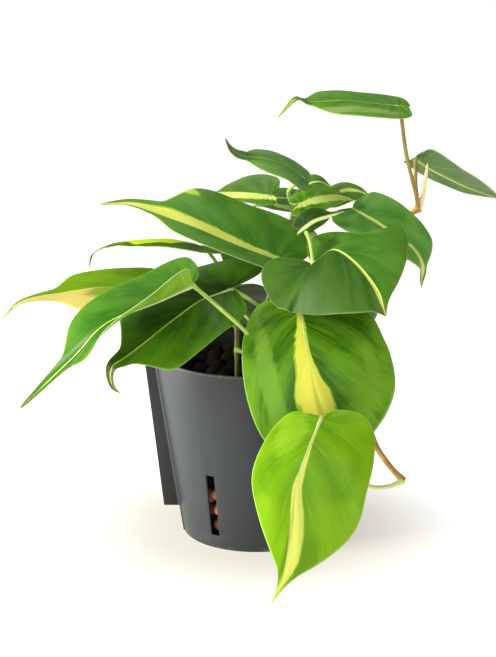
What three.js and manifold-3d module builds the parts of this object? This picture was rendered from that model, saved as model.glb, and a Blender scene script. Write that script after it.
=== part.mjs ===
// A potted philodendron: a plastic culture pot with a guide for a water gauge, a bed of
// expanded-clay pebbles, five vines with their leaf stalks, and heart-shaped leaves.
// Millimetres, +Z up. The origin is the middle of the pot's base, and the pot's front is at -Y.
import * as THREE from "three";
import { mergeVertices } from "three/addons/utils/BufferGeometryUtils.js";
import Module from "manifold-3d";

const wasm = await Module();
wasm.setup();

// ---- driving dimensions ----

const clearance = 0.3; // air between two pieces that touch

const potHeight = 120;
const potRimRadius = 65;
const potFootRadius = 47;
const potWall = 1.6;
const potBase = 2;
const potEdgeRounding = 0.7;
const potSides = 40;

const slotCount = 6;
const slotWidth = 5.3;
const slotLow = 9;
const slotHigh = 50.5;
const firstSlotAngle = 238; // degrees from +X, anticlockwise seen from above

const guideGap = 12.4; // between the two flanges of the gauge guide
const flangeThickness = 1.6;
const flangeLow = 17;
const flangeHigh = 118.5;
const flangeReachLow = 59.5; // from the pot's axis to a flange's outer edge
const flangeReachHigh = 71.2;

const bedTop = 106; // the pebbles stand out above this
const pebbleRadius = 7;
const pebbleCount = 50;
const slotPebbleRadius = 5;
const slotPebbleCount = 3;
const stemHoleDepth = 20;
const stemHoleRadius = 2.4;

const stemRadius = 1.6;
const stalkRadius = 1.05;
const knuckleRadius = 1.9; // the swelling where a stalk meets its blade
const nodeRadius = 2.3; // the swelling where a stalk leaves its stem
const tubeSides = 5;

const bladeEdge = 0.8; // thickness at the margin
const bladeRib = 1.6; // thickness along the midrib

const colours = {
  pot: 0x454c55,
  pebbles: 0x6b3f2c,
  stem: 0x8a6a34,
  leafDark: 0x2f6b26,
  leafMid: 0x3f8420,
  leafLight: 0x5aa313,
  leafPale: 0x6f8f55,
};

// ---- the leaves ----

// rib: the midrib from the notch to the tip. face: the way the upper side looks, at the notch and
// at the tip. half: the widths left and right of the rib, seen from above with the tip ahead.
// fold and curl, left and right, in degrees: how far a half turns up at the rib, and how much more
// by its margin. lift, left and right, in degrees: extra fold that fades out from the notch to the
// tip. wave: height of the margin's waves. lobes: how far the lobes reach back past the notch, and
// point: how long the narrow tip is, both in lengths of the rib. tip: how broad that tip is, in
// shares of the half. full: how far the broad part runs on towards the tip. straight: how closely
// the rows keep square to the line from notch to tip.
const usualLeaf = {
  lift: [0, 0], wave: 0.8, lobes: 0.2, point: 0.3, tip: 0.05, full: 0, straight: 0.3,
};

const leafShapes = [
  {
    name: "leaf_front_low",
    colour: "leafLight",
    rib: [[38, -104, 107], [30, -114, 91], [23, -121, 72], [21, -127, 47], [18, -131, 24], [10, -134, 5]],
    face: [[0.05, -1, 0.35], [-0.1, -1, 0.15]],
    half: [39, 29],
    fold: [-4, -4],
    curl: [-12, -14],
    lobes: 0.015,
    point: 0.2,
    full: 0.05,
    straight: 1,
  },
  {
    name: "leaf_front_hanging",
    colour: "leafLight",
    rib: [[26, -50, 163], [28, -63, 153], [31, -76, 135], [37, -84, 112], [49, -87, 87], [60, -85, 62]],
    face: [[0, -0.8, 0.6], [0.05, -1, 0.1]],
    half: [55, 38],
    fold: [-6, -4],
    curl: [-16, -8],
    wave: 1.2,
    lobes: 0.03,
    point: 0.14,
    straight: 0.1,
    full: 0.08,
  },
  {
    name: "leaf_centre",
    colour: "leafDark",
    rib: [[34, -46, 186], [46, -56, 197], [59, -70, 191], [70, -84, 179], [75, -97, 166]],
    face: [[-0.18, -0.44, 0.88], [-0.1, -0.5, 0.85]],
    half: [53, 43],
    fold: [2, -4],
    curl: [-42, -26],
    wave: 0.9,
    lobes: 0.33,
    point: 0.16,
    straight: 1,
  },
  {
    name: "leaf_left_large",
    colour: "leafDark",
    rib: [
      [14, -17, 182], [-10, -22, 192], [-37, -24, 204], [-65, -22, 214], [-80, -20, 218],
      [-97, -16, 217],
    ],
    face: [[0.38, -0.41, 0.83], [0.2, -0.45, 0.88]],
    half: [18, 33],
    fold: [12, 16],
    curl: [-8, -8],
    wave: 1.2,
    point: 0.32,
    full: 0.2,
    tip: 0.11,
    lobes: 0.17,
  },
  {
    name: "leaf_left_long",
    colour: "leafMid",
    rib: [
      [-38, -62, 177], [-57, -68, 169], [-80, -74, 161], [-94, -78, 153], [-106, -82, 140],
      [-122, -86, 125], [-140, -88, 108],
    ],
    face: [[-0.33, -0.5, 0.85], [-0.4, -0.3, 0.85]],
    half: [16, 30],
    fold: [-10, 4],
    curl: [30, -8],
    lobes: 0.07,
    lift: [58, 2],
    tip: 0.09,
  },
  {
    name: "leaf_over_rim",
    colour: "leafMid",
    rib: [
      [-23, -43, 167], [-34, -49, 164], [-47, -55, 156], [-64, -64, 145], [-78, -69, 136],
      [-87, -71, 128], [-87, -70, 117], [-81, -67, 110],
    ],
    face: [[-0.18, -0.4, 0.9], [-0.4, -0.6, 0.6]],
    half: [32, 30],
    fold: [-6, -2],
    curl: [-8, -8],
    lobes: 0.015,
    point: 0.38,
    tip: 0.09,
    lift: [-13, 0],
    straight: 0,
    full: 0.1,
  },
  {
    name: "leaf_left_cream",
    colour: "leafMid",
    rib: [
      [-41, 0, 158], [-66, -8, 164], [-95, -16, 164], [-122, -20, 161], [-146, -24, 157],
      [-158, -26, 147],
    ],
    face: [[0, -0.2, 0.97], [-0.1, -0.3, 0.95]],
    half: [24, 28],
    fold: [-4, -4],
    curl: [-6, -6],
    full: 0.18,
    tip: 0.08,
  },
  {
    name: "leaf_left_thin",
    colour: "leafMid",
    rib: [[-33, 30, 181], [-56, 32, 185], [-82, 35, 183], [-99, 36, 179], [-107, 36, 174], [-109, 36, 165]],
    face: [[0, 0.14, 1], [0, 0.06, 1]],
    half: [26, 26],
    fold: [-3, -3],
    curl: [-6, -6],
    wave: 0.5,
    point: 0.32,
    tip: 0.09,
  },
  {
    name: "leaf_top_right",
    colour: "leafDark",
    rib: [
      [90, 12, 274], [73, 10, 276], [58, 8, 278], [43, 4, 278], [31, 1, 278], [24, -2, 280],
      [13, -4, 269],
    ],
    face: [[0.23, -0.15, 0.96], [0, -0.2, 1]],
    half: [22, 28],
    fold: [0, 0],
    curl: [-8, -8],
    wave: 0.5,
    lobes: 0.09,
    tip: 0.11,
  },
  {
    name: "leaf_right_far",
    colour: "leafPale",
    rib: [[102, 26, 239], [112, 29, 232], [125, 32, 225], [139, 35, 218], [154, 39, 212], [167, 42, 206]],
    face: [[0.29, 0.48, 0.83], [0.29, 0.48, 0.83]],
    half: [10, 25],
    fold: [0, 0],
    curl: [-6, -6],
    wave: 0.5,
    lobes: 0.04,
    point: 0.22,
  },
  {
    name: "leaf_right_dark",
    colour: "leafDark",
    rib: [
      [61, 7, 210], [69, 3, 206], [78, -1, 201], [91, -8, 193], [99, -13, 187],
      [103, -17, 179], [103, -20, 165],
    ],
    face: [[0.2, -0.54, 0.82], [0.6, -0.4, 0.5]],
    half: [28, 22],
    fold: [7, 7],
    curl: [-14, -14],
    lobes: 0.05,
    point: 0.18,
    straight: 0.9,
    full: 0.12,
    tip: 0.09,
  },
  {
    name: "leaf_top_horn",
    colour: "leafMid",
    rib: [[29, 8, 225], [19, 8, 233], [6, 6, 240], [-8, 4, 244], [-15, 3, 248], [-19, 2, 255]],
    face: [[0.4, -0.2, 0.9], [0.4, -0.2, 0.9]],
    half: [18, 19],
    fold: [0, 0],
    curl: [-8, -8],
    wave: 0.5,
    lobes: 0.06,
    tip: 0.13,
  },
  {
    name: "leaf_top_yellow",
    colour: "leafMid",
    rib: [[10, 24, 215], [-4, 26, 216], [-17, 28, 216], [-29, 30, 216]],
    face: [[0, -0.6, 0.8], [0, -0.6, 0.8]],
    half: [8, 16],
    fold: [0, 0],
    curl: [-10, -10],
    wave: 0.5,
    lobes: 0.1,
    point: 0.18,
  },
  {
    name: "leaf_young_dark",
    colour: "leafDark",
    rib: [[29, -13, 202], [36, -14, 207], [46, -14, 210], [55, -13, 212]],
    face: [[-0.1, -0.7, 0.5], [-0.1, -0.7, 0.5]],
    half: [9, 6],
    fold: [10, -10],
    curl: [0, -10],
    wave: 0.3,
    point: 0.18,
  },
  {
    name: "leaf_young_cream",
    colour: "leafLight",
    rib: [[28, 4, 213], [39, 3, 217], [51, 4, 218], [63, 6, 215]],
    face: [[0, -0.6, 0.8], [0, -0.6, 0.8]],
    half: [13, 10],
    fold: [0, 0],
    curl: [-10, -10],
    point: 0.18,
  },
  {
    name: "leaf_young_right",
    colour: "leafLight",
    rib: [[48, 38, 212], [59, 39, 216], [70, 39, 214], [79, 38, 207]],
    face: [[0, -0.5, 0.85], [0.4, -0.4, 0.8]],
    half: [9, 11],
    fold: [5, 5],
    curl: [-20, -20],
    point: 0.18,
  },
  {
    name: "leaf_young_back",
    colour: "leafLight",
    rib: [[30, 30, 220], [40, 31, 223], [51, 31, 218]],
    face: [[0, -0.4, 0.9], [0.2, -0.4, 0.9]],
    half: [9, 9],
    fold: [5, 5],
    curl: [-10, -10],
    wave: 0.3,
    point: 0.18,
  },
  {
    name: "leaf_inner_dark",
    colour: "leafDark",
    rib: [[26, 44, 209], [15, 45, 210], [4, 46, 208], [-4, 46, 202]],
    face: [[0, -0.5, 0.85], [0, -0.5, 0.85]],
    half: [12, 12],
    fold: [0, 0],
    curl: [-10, -10],
    wave: 0.3,
    point: 0.18,
  },
  {
    name: "leaf_back_left",
    colour: "leafMid",
    rib: [[-20, 58, 146], [-26, 76, 140], [-30, 88, 118], [-30, 92, 90], [-28, 90, 62]],
    face: [[-0.1, 0.6, 0.8], [0, 1, 0.1]],
    half: [33, 33],
    fold: [-8, -8],
    curl: [-14, -14],
    wave: 1,
    point: 0.18,
  },
  {
    name: "leaf_back_right",
    colour: "leafMid",
    rib: [[34, 56, 152], [48, 70, 152], [62, 82, 138], [68, 88, 112], [66, 88, 88]],
    face: [[0.3, 0.6, 0.8], [0.3, 1, 0.1]],
    half: [33, 33],
    fold: [-8, -8],
    curl: [-14, -14],
    wave: 1,
    point: 0.18,
  },
  {
    name: "leaf_back_high",
    colour: "leafDark",
    rib: [[8, 50, 166], [3, 68, 180], [-3, 88, 183], [-8, 110, 170], [-8, 124, 150]],
    face: [[0, 0.2, 1], [0, 0.8, 0.6]],
    half: [30, 30],
    fold: [-8, -8],
    curl: [-12, -12],
    wave: 1,
    lobes: 0.1,
    point: 0.18,
  },
];
const leaves = leafShapes.map((shape) => ({ ...usualLeaf, ...shape }));

// ---- the vines ----

// route: the stem from the bottom of its hole upwards. Each stalk starts at a point on the stem,
// passes its own points and ends at the notch of its leaf.
const vines = [
  {
    name: "vine_left",
    route: [
      [-12, -12, 88], [-12, -12, 104], [-12, -12, 117], [-12, -5, 130], [-12, 6, 142],
      [-14, 20, 154], [-20, 26, 162],
    ],
    stalks: [
      {
        leaf: "leaf_left_long",
        via: [
          [-12, -10, 122], [-9, -26, 126], [-5, -40, 134], [-7, -50, 146], [-10, -59, 153], [-22, -66, 165],
        ],
      },
      { leaf: "leaf_left_cream", via: [[-12, -1, 136], [-24, -2, 142], [-36, -1, 149]] },
      { leaf: "leaf_left_thin", via: [[-20, 26, 162], [-27, 30, 172]] },
    ],
  },
  {
    name: "vine_centre",
    route: [
      [10, -12, 88], [10, -12, 104], [10, -12, 117], [17, -11, 138], [31, -8, 158],
      [40, -3, 176], [38, -1, 190], [33, -3, 201],
    ],
    stalks: [
      { leaf: "leaf_over_rim", via: [[12, -12, 124], [10, -24, 146], [-2, -36, 160]] },
      { leaf: "leaf_left_large", via: [[19, -11, 142], [18, -14, 160], [15, -16, 174]] },
      {
        leaf: "leaf_centre",
        via: [
          [40, -3, 180], [36, -8, 191], [31, -20, 199], [31, -34, 202], [33, -42, 196],
        ],
      },
      { leaf: "leaf_young_dark", via: [[37, -2, 194], [30, -8, 197]] },
      { leaf: "leaf_young_cream", via: [[33, -3, 201], [28, 2, 204]] },
    ],
  },
  {
    name: "vine_right",
    route: [
      [20, 8, 88], [20, 8, 104], [20, 8, 117], [28, 11, 138], [45, 15, 160],
      [66, 18, 178], [88, 20, 195], [104, 19, 208],
    ],
    stalks: [
      { leaf: "leaf_right_dark", via: [[62, 17, 175], [60, 13, 192], [60, 9, 204]] },
      { leaf: "leaf_top_right", via: [[104, 19, 208], [100, 12, 222], [94, 10, 245]] },
      { leaf: "leaf_right_far", via: [[104, 19, 208], [102, 24, 221]] },
    ],
    shoot: { from: [104, 19, 208], to: [108, 12, 238], radius: 1.9 },
  },
  {
    name: "vine_trailing",
    route: [
      [28, -30, 88], [28, -30, 104], [28, -30, 117], [36, -40, 128], [49, -53, 128],
      [60, -63, 115], [66, -70, 98], [72, -77, 81], [80, -83, 70], [88, -87, 62],
    ],
    stalks: [
      { leaf: "leaf_front_hanging", via: [[31, -33, 122], [27, -38, 144], [26, -43, 156]] },
      {
        leaf: "leaf_front_low",
        via: [
          [88, -87, 62], [78, -92, 60], [66, -95, 62], [52, -96, 76], [41, -95, 98],
        ],
      },
    ],
  },
  {
    name: "vine_back",
    route: [
      [4, 22, 88], [4, 22, 104], [4, 22, 117], [6, 26, 136], [12, 33, 160],
      [20, 35, 186], [25, 32, 205],
    ],
    stalks: [
      { leaf: "leaf_back_left", via: [[4, 23, 124], [-8, 38, 134], [-17, 54, 138]] },
      { leaf: "leaf_back_right", via: [[6, 26, 136], [18, 42, 142], [31, 53, 144]] },
      { leaf: "leaf_back_high", via: [[10, 31, 154], [8, 42, 160]] },
      { leaf: "leaf_inner_dark", via: [[22, 34, 194], [27, 42, 200]] },
      { leaf: "leaf_top_yellow", via: [[25, 32, 205], [19, 28, 207], [13, 25, 209]] },
      { leaf: "leaf_young_back", via: [[25, 32, 205], [29, 31, 214]] },
      { leaf: "leaf_young_right", via: [[25, 32, 205], [37, 36, 207], [46, 38, 208]] },
      { leaf: "leaf_top_horn", via: [[25, 32, 205], [21, 22, 215], [22, 13, 222]] },
    ],
  },
];

// ---- solids ----

function solidOf(geometry) {
  const plain = geometry.clone();
  plain.deleteAttribute("normal");
  plain.deleteAttribute("uv");
  const merged = mergeVertices(plain, 1e-4);
  return new wasm.Manifold(
    new wasm.Mesh({
      numProp: 3,
      vertProperties: merged.getAttribute("position").array,
      triVerts: new Uint32Array(merged.index.array),
    }),
  );
}

function geometryOf(solid) {
  const mesh = solid.getMesh();
  const geometry = new THREE.BufferGeometry();
  geometry.setAttribute("position", new THREE.BufferAttribute(new Float32Array(mesh.vertProperties), 3));
  geometry.setIndex(new THREE.BufferAttribute(new Uint32Array(mesh.triVerts), 1));
  geometry.computeVertexNormals();
  return geometry;
}

function joined(solids) {
  return solids.reduce((sum, next) => sum.add(next));
}

const vector = (point) => new THREE.Vector3(...point);
const curveOf = (points) => new THREE.CatmullRomCurve3(points, false, "catmullrom", 0.5);

// A round tube along smooth points, as a section of few sides.
function tube(points, radius, stepLength) {
  const path = curveOf(points);
  const section = new THREE.Shape();
  for (let i = 0; i < tubeSides; i++) {
    const turn = (2 * Math.PI * i) / tubeSides;
    const x = radius * Math.cos(turn);
    const y = radius * Math.sin(turn);
    if (i === 0) section.moveTo(x, y);
    else section.lineTo(x, y);
  }
  section.closePath();
  const steps = Math.max(3, Math.round(path.getLength() / stepLength));
  return solidOf(new THREE.ExtrudeGeometry(section, { steps, extrudePath: path, bevelEnabled: false }));
}

function ball(centre, radius) {
  return solidOf(new THREE.IcosahedronGeometry(radius, 0).translate(...centre));
}

// A seeded draw between 0 and 1, so that every build is the same.
function seededDraw(seed) {
  let state = seed;
  return () => {
    state = (state * 1664525 + 1013904223) % 4294967296;
    return state / 4294967296;
  };
}

// ---- the pot ----

const wallRadius = (z) => potFootRadius + ((potRimRadius - potFootRadius) * z) / potHeight;
const innerRadius = (z) => wallRadius(z) - potWall;

function slotCut(angle) {
  const reach = 14;
  const height = slotHigh - slotLow;
  const middle = (slotLow + slotHigh) / 2;
  const box = new THREE.BoxGeometry(reach, slotWidth, height);
  box.translate(wallRadius(middle), 0, middle);
  return solidOf(box.rotateZ(THREE.MathUtils.degToRad(angle)));
}

// One flange of the gauge guide, a plate that stands out from the pot's wall towards -X.
function flange(side) {
  const sunk = 1.3; // how deep its inner edge is set into the wall
  const outline = new THREE.Shape();
  outline.moveTo(-(wallRadius(flangeLow) - sunk), flangeLow);
  outline.lineTo(-(wallRadius(flangeHigh) - sunk), flangeHigh);
  outline.lineTo(-flangeReachHigh, flangeHigh);
  outline.lineTo(-flangeReachLow, flangeLow);
  outline.closePath();
  const plate = new THREE.ExtrudeGeometry(outline, { depth: flangeThickness, bevelEnabled: false });
  plate.rotateX(Math.PI / 2);
  const nearFace = guideGap / 2;
  return solidOf(plate.translate(0, side > 0 ? nearFace + flangeThickness : -nearFace, 0));
}

function makePot() {
  const r = potEdgeRounding;
  const profile = [
    [0, 0],
    [potFootRadius - r, 0],
    [wallRadius(r), r],
    [wallRadius(potHeight - r), potHeight - r],
    [potRimRadius - r, potHeight],
    [potRimRadius - potWall + r / 2, potHeight],
    [innerRadius(potHeight - r), potHeight - r],
    [innerRadius(potBase), potBase],
    [0, potBase],
  ];
  const shell = new THREE.LatheGeometry(profile.map(([x, y]) => new THREE.Vector2(x, y)), potSides);
  let solid = solidOf(shell.rotateX(Math.PI / 2));
  for (const side of [-1, 1]) solid = solid.add(flange(side));
  for (let i = 0; i < slotCount; i++) {
    solid = solid.subtract(slotCut(firstSlotAngle + (360 / slotCount) * i));
  }
  return solid;
}

// ---- the pebbles ----

function pebble(radius, centre, draw) {
  const stone = new THREE.IcosahedronGeometry(radius, 0);
  stone.scale(1, 0.8 + 0.15 * draw(), 0.7 + 0.15 * draw());
  stone.rotateX(draw() * Math.PI);
  stone.rotateZ(draw() * Math.PI);
  return solidOf(stone.translate(...centre));
}

function makePebbles() {
  const low = potBase + clearance;
  const profile = [
    [0, low],
    [innerRadius(low) - clearance, low],
    [innerRadius(bedTop) - clearance, bedTop],
    [0, bedTop],
  ];
  const fill = new THREE.LatheGeometry(profile.map(([x, y]) => new THREE.Vector2(x, y)), potSides);
  let bed = solidOf(fill.rotateX(Math.PI / 2));

  // Behind each slot the fill steps back, and loose pebbles stand in the recess.
  const recess = 5;
  const recessMargin = 3; // beyond the slot, above and below
  const recessWidth = slotWidth + 4;
  const middle = (slotLow + slotHigh) / 2;
  const recessHeight = slotHigh - slotLow + 2 * recessMargin;
  const cuts = [];
  const stones = [];
  const draw = seededDraw(7);
  for (let i = 0; i < slotCount; i++) {
    const turn = THREE.MathUtils.degToRad(firstSlotAngle + (360 / slotCount) * i);
    const box = new THREE.BoxGeometry(2 * recess, recessWidth, recessHeight);
    box.translate(innerRadius(middle), 0, middle);
    cuts.push(solidOf(box.rotateZ(turn)));
    for (let k = 0; k < slotPebbleCount; k++) {
      const z = slotLow + ((slotHigh - slotLow) * (k + 0.5)) / slotPebbleCount;
      const r = innerRadius(z - slotPebbleRadius) - clearance - slotPebbleRadius;
      stones.push(pebble(slotPebbleRadius, [r * Math.cos(turn), r * Math.sin(turn), z], draw));
    }
  }
  bed = joined(stones).add(bed.subtract(joined(cuts)));

  // The top layer, set out on a sunflower spiral.
  const goldenAngle = Math.PI * (3 - Math.sqrt(5));
  const reach = innerRadius(bedTop) - pebbleRadius - clearance;
  const unevenness = 1.6;
  const top = [];
  for (let i = 0; i < pebbleCount; i++) {
    const r = reach * Math.sqrt((i + 0.5) / pebbleCount);
    const size = pebbleRadius * (0.85 + 0.15 * draw());
    const z = bedTop + unevenness * draw();
    top.push(pebble(size, [r * Math.cos(i * goldenAngle), r * Math.sin(i * goldenAngle), z], draw));
  }
  bed = bed.add(joined(top));

  const holeHeight = 60; // well clear of the pebbles above
  for (const { route } of vines) {
    const hole = new THREE.CylinderGeometry(stemHoleRadius, stemHoleRadius, holeHeight, 8);
    hole.rotateX(Math.PI / 2).translate(route[0][0], route[0][1], bedTop - stemHoleDepth + holeHeight / 2);
    bed = bed.subtract(solidOf(hole));
  }
  return bed;
}

// ---- the blade ----

// Half of a heart-shaped outline in four Bezier pieces, from the notch round the lobe to the tip.
// The first number runs along the rib in lengths of the rib, the second outwards in half widths.
function outlineOf({ lobes, point, tip, full }) {
  const neck = 1 - point;
  const pieces = [
    [[0, 0], [-0.4 * lobes, 0.02], [-lobes, 0.2], [-lobes, 0.47]],
    [[-lobes, 0.47], [-lobes, 0.8], [-0.05, 1], [0.2, 1]],
    [[0.2, 1], [0.48 + full, 1], [neck - 0.14, 0.54 + 2 * full], [neck, 0.22]],
    [[neck, 0.22], [neck + 0.3 * point, 0.03 + tip], [neck + 0.6 * point, tip], [1, 0]],
  ];
  return pieces.map(
    (points) => new THREE.CubicBezierCurve(...points.map(([x, y]) => new THREE.Vector2(x, y))),
  );
}

const wavesPerHalf = 2.5;
const waveOffset = 0.35; // so that the two halves don't wave together
const bladeRows = [0.12, 0.22, 0.3, 0.4, 0.5, 0.61, 0.72, 0.84, 1];
const smallBladeRows = [0.14, 0.3, 0.5, 0.72, 1];
const smallBlade = 18; // a half narrower than this takes the shorter list
const bladeColumns = 3;

function marginAt(outline, s) {
  const piece = Math.min(3, Math.floor(s * 4));
  return outline[piece].getPoint(s * 4 - piece);
}

// A point of the flat blade: row s runs like a side vein, from the rib at u = 0 to the margin.
function flatPoint(outline, s, u) {
  const margin = marginAt(outline, s);
  const start = Math.max(0, (s - 0.25) / 0.75) ** 2.4;
  const bendAlong = start + (margin.x - start) * 0.3;
  const bendOut = 0.62 * margin.y;
  const v = 1 - u;
  return {
    along: v * v * start + 2 * v * u * bendAlong + u * u * margin.x,
    out: 2 * v * u * bendOut + u * u * margin.y,
  };
}

const chordOf = (leaf) => vector(leaf.rib.at(-1)).sub(vector(leaf.rib[0])).normalize();

// The directions across the blade and out of its upper side, at t along the rib.
function crossFrame(leaf, rib, chord, t) {
  const forward = rib.getTangentAt(t);
  const face = vector(leaf.face[0]).lerp(vector(leaf.face[1]), t);
  const square = forward.clone().cross(face).normalize();
  const sideways = square.lerp(chord.clone().cross(face).normalize(), leaf.straight).normalize();
  return { sideways, up: sideways.clone().cross(forward).normalize() };
}

// Bends a flat blade along its rib in space. Returns a function of row, column and side, where
// side is 0 for the left half and 1 for the right.
function bentBlade(leaf) {
  const rib = curveOf(leaf.rib.map(vector));
  const length = rib.getLength();
  const chord = chordOf(leaf);
  const forwardAtNotch = rib.getTangentAt(0).lerp(chord, leaf.straight).normalize();
  const outline = outlineOf(leaf);
  return (s, u, side) => {
    const { along, out } = flatPoint(outline, s, u);
    const t = THREE.MathUtils.clamp(along, 0, 1);
    const { sideways, up } = crossFrame(leaf, rib, chord, t);
    const distance = out * leaf.half[side];
    const turn = THREE.MathUtils.degToRad(leaf.curl[side]) / leaf.half[side];
    const start = THREE.MathUtils.degToRad(leaf.fold[side] + leaf.lift[side] * (1 - t) ** 2);
    const middle = start + (turn * distance) / 2;
    const reach = distance * (1 - (turn * distance) ** 2 / 24);
    const swell = Math.sin(2 * Math.PI * (wavesPerHalf * s + waveOffset * side));
    const wave = leaf.wave * swell * u * u * Math.min(1, 5 * (1 - s));
    const behind = Math.max(0, -along);
    const point = rib.getPointAt(t);
    point.addScaledVector(forwardAtNotch, -behind * length);
    point.addScaledVector(sideways, (side ? 1 : -1) * reach * Math.cos(middle));
    point.addScaledVector(up, reach * Math.sin(middle) + wave);
    return point;
  };
}

function bladeSolid(leaf) {
  const pointAt = bentBlade(leaf);
  const rows = Math.max(...leaf.half) < smallBlade ? smallBladeRows : bladeRows;
  const top = [];
  const thickness = [];
  const columnsOf = [[], []]; // for each side, the vertex numbers of each row from rib to margin
  const add = (point, depth) => {
    top.push(point);
    thickness.push(depth);
    return top.length - 1;
  };
  const notch = add(pointAt(rows[0], 0, 0), bladeRib);
  const tip = add(pointAt(1, 1, 0), bladeEdge);
  for (const s of rows) {
    const onRib = s <= 0.25 ? notch : s >= 1 ? tip : add(pointAt(s, 0, 0), bladeRib);
    for (const side of [0, 1]) {
      const row = [onRib];
      for (let c = 1; c <= bladeColumns; c++) {
        const u = c / bladeColumns;
        const depth = bladeEdge + (bladeRib - bladeEdge) * Math.max(0, 1 - 2 * u);
        row.push(s >= 1 ? tip : add(pointAt(s, u, side), depth));
      }
      columnsOf[side].push(row);
    }
  }
  const faces = [];
  const face = (a, b, c) => {
    if (a !== b && b !== c && c !== a) faces.push([a, b, c]);
  };
  for (const side of [0, 1]) {
    const grid = columnsOf[side];
    for (let r = 0; r + 1 < grid.length; r++) {
      for (let c = 0; c < bladeColumns; c++) {
        const [a, b, d, e] = [grid[r][c], grid[r][c + 1], grid[r + 1][c], grid[r + 1][c + 1]];
        if (side === 1) {
          face(a, b, e);
          face(a, e, d);
        } else {
          face(a, e, b);
          face(a, d, e);
        }
      }
    }
  }

  // The lower side is the upper one set back along its own normals.
  const normals = top.map(() => new THREE.Vector3());
  for (const [a, b, c] of faces) {
    const across = top[b].clone().sub(top[a]).cross(top[c].clone().sub(top[a]));
    for (const v of [a, b, c]) normals[v].add(across);
  }
  const count = top.length;
  const positions = new Float32Array(count * 6);
  top.forEach((point, i) => {
    point.toArray(positions, i * 3);
    const below = point.clone().addScaledVector(normals[i].normalize(), -thickness[i]);
    below.toArray(positions, (count + i) * 3);
  });
  const index = [];
  for (const [a, b, c] of faces) index.push(a, b, c, count + a, count + c, count + b);
  const [left, right] = columnsOf;
  const margin = [
    ...right[0],
    ...right.slice(1).map((row) => row[bladeColumns]),
    ...left.slice(1, -1).map((row) => row[bladeColumns]).reverse(),
    ...left[0].slice(1).reverse(),
  ];
  margin.forEach((a, i) => {
    const b = margin[(i + 1) % margin.length];
    index.push(a, count + a, b, b, count + a, count + b);
  });
  return new wasm.Manifold(
    new wasm.Mesh({ numProp: 3, vertProperties: positions, triVerts: new Uint32Array(index) }),
  );
}

// The middle of the swelling at the notch, where the stalk arrives.
function knuckleCentre(leaf) {
  const rib = curveOf(leaf.rib.map(vector));
  const { up } = crossFrame(leaf, rib, chordOf(leaf), 0);
  return vector(leaf.rib[0]).addScaledVector(up, -bladeRib / 2);
}

function makeLeaf(leaf) {
  return bladeSolid(leaf).add(ball(knuckleCentre(leaf), knuckleRadius));
}

// ---- stems and stalks ----

function makeVine(vine) {
  const stemStep = 13;
  const stalkStep = 12;
  const foot = [...vine.route];
  foot[0] = [foot[0][0], foot[0][1], bedTop - stemHoleDepth + clearance];
  const pieces = [tube(foot.map(vector), stemRadius, stemStep)];
  for (const stalk of vine.stalks) {
    const leaf = leaves.find(({ name }) => name === stalk.leaf);
    const centre = knuckleCentre(leaf);
    const points = stalk.via.map(vector);
    const away = points[points.length - 1].clone().sub(centre).normalize();
    const end = centre.clone().addScaledVector(away, knuckleRadius + clearance);
    pieces.push(tube([...points, end], stalkRadius, stalkStep));
    pieces.push(ball(points[0], nodeRadius));
  }
  if (vine.shoot) {
    const from = vector(vine.shoot.from);
    const to = vector(vine.shoot.to);
    const spike = new THREE.ConeGeometry(vine.shoot.radius, from.distanceTo(to), tubeSides);
    const axis = to.clone().sub(from).normalize();
    spike.applyQuaternion(new THREE.Quaternion().setFromUnitVectors(new THREE.Vector3(0, 1, 0), axis));
    const middle = from.add(to).multiplyScalar(0.5);
    pieces.push(solidOf(spike.translate(...middle)));
  }
  return joined(pieces);
}

// ---- the assembly ----

function named(name, solid, color, roughness) {
  const material = new THREE.MeshStandardMaterial({ color, roughness, metalness: 0 });
  const mesh = new THREE.Mesh(geometryOf(solid), material);
  mesh.name = name;
  return mesh;
}

const plant = new THREE.Group();
plant.name = "potted_philodendron";
plant.add(named("pot", makePot(), colours.pot, 0.5));
plant.add(named("clay_pebbles", makePebbles(), colours.pebbles, 0.95));
for (const vine of vines) plant.add(named(vine.name, makeVine(vine), colours.stem, 0.6));
for (const leaf of leaves) plant.add(named(leaf.name, makeLeaf(leaf), colours[leaf.colour], 0.45));

export default plant;
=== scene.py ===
# Potted philodendron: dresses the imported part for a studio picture.
# Everything stands in the part's own frame: Z up, the origin under the middle of the pot, the
# front of the plant at -Y. Lengths in the dictionaries are millimetres, angles are degrees.
import bisect
import math
import random

import bmesh
import bpy
from mathutils import Matrix, Vector, noise


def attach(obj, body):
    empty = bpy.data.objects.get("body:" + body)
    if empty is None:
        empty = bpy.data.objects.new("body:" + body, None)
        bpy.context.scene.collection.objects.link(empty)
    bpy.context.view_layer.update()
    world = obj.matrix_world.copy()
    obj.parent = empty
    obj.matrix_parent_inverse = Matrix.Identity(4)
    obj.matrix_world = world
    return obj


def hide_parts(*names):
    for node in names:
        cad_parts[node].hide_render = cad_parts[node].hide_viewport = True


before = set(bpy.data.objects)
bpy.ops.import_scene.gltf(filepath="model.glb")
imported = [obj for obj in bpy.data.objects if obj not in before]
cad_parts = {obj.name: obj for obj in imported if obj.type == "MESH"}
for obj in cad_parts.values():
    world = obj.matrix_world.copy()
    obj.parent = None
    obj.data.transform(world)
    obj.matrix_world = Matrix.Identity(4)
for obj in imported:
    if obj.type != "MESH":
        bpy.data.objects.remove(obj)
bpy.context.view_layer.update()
scene = bpy.context.scene
scene.view_settings.view_transform = "Standard"
print("frame loaded,", len(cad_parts), "nodes")

mm = 0.001

cameraLook = {
    "location": (-5, -1065, 411),
    "lookDown": 14.6,
    "lens": 94.63,  # on a 36 mm long side
}

camera = bpy.data.objects.new("camera", bpy.data.cameras.new("camera"))
camera.data.lens = cameraLook["lens"]
camera.location = Vector(cameraLook["location"]) * mm
camera.rotation_euler = (math.radians(90 - cameraLook["lookDown"]), 0, 0)
scene.collection.objects.link(camera)
scene.camera = camera


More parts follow.
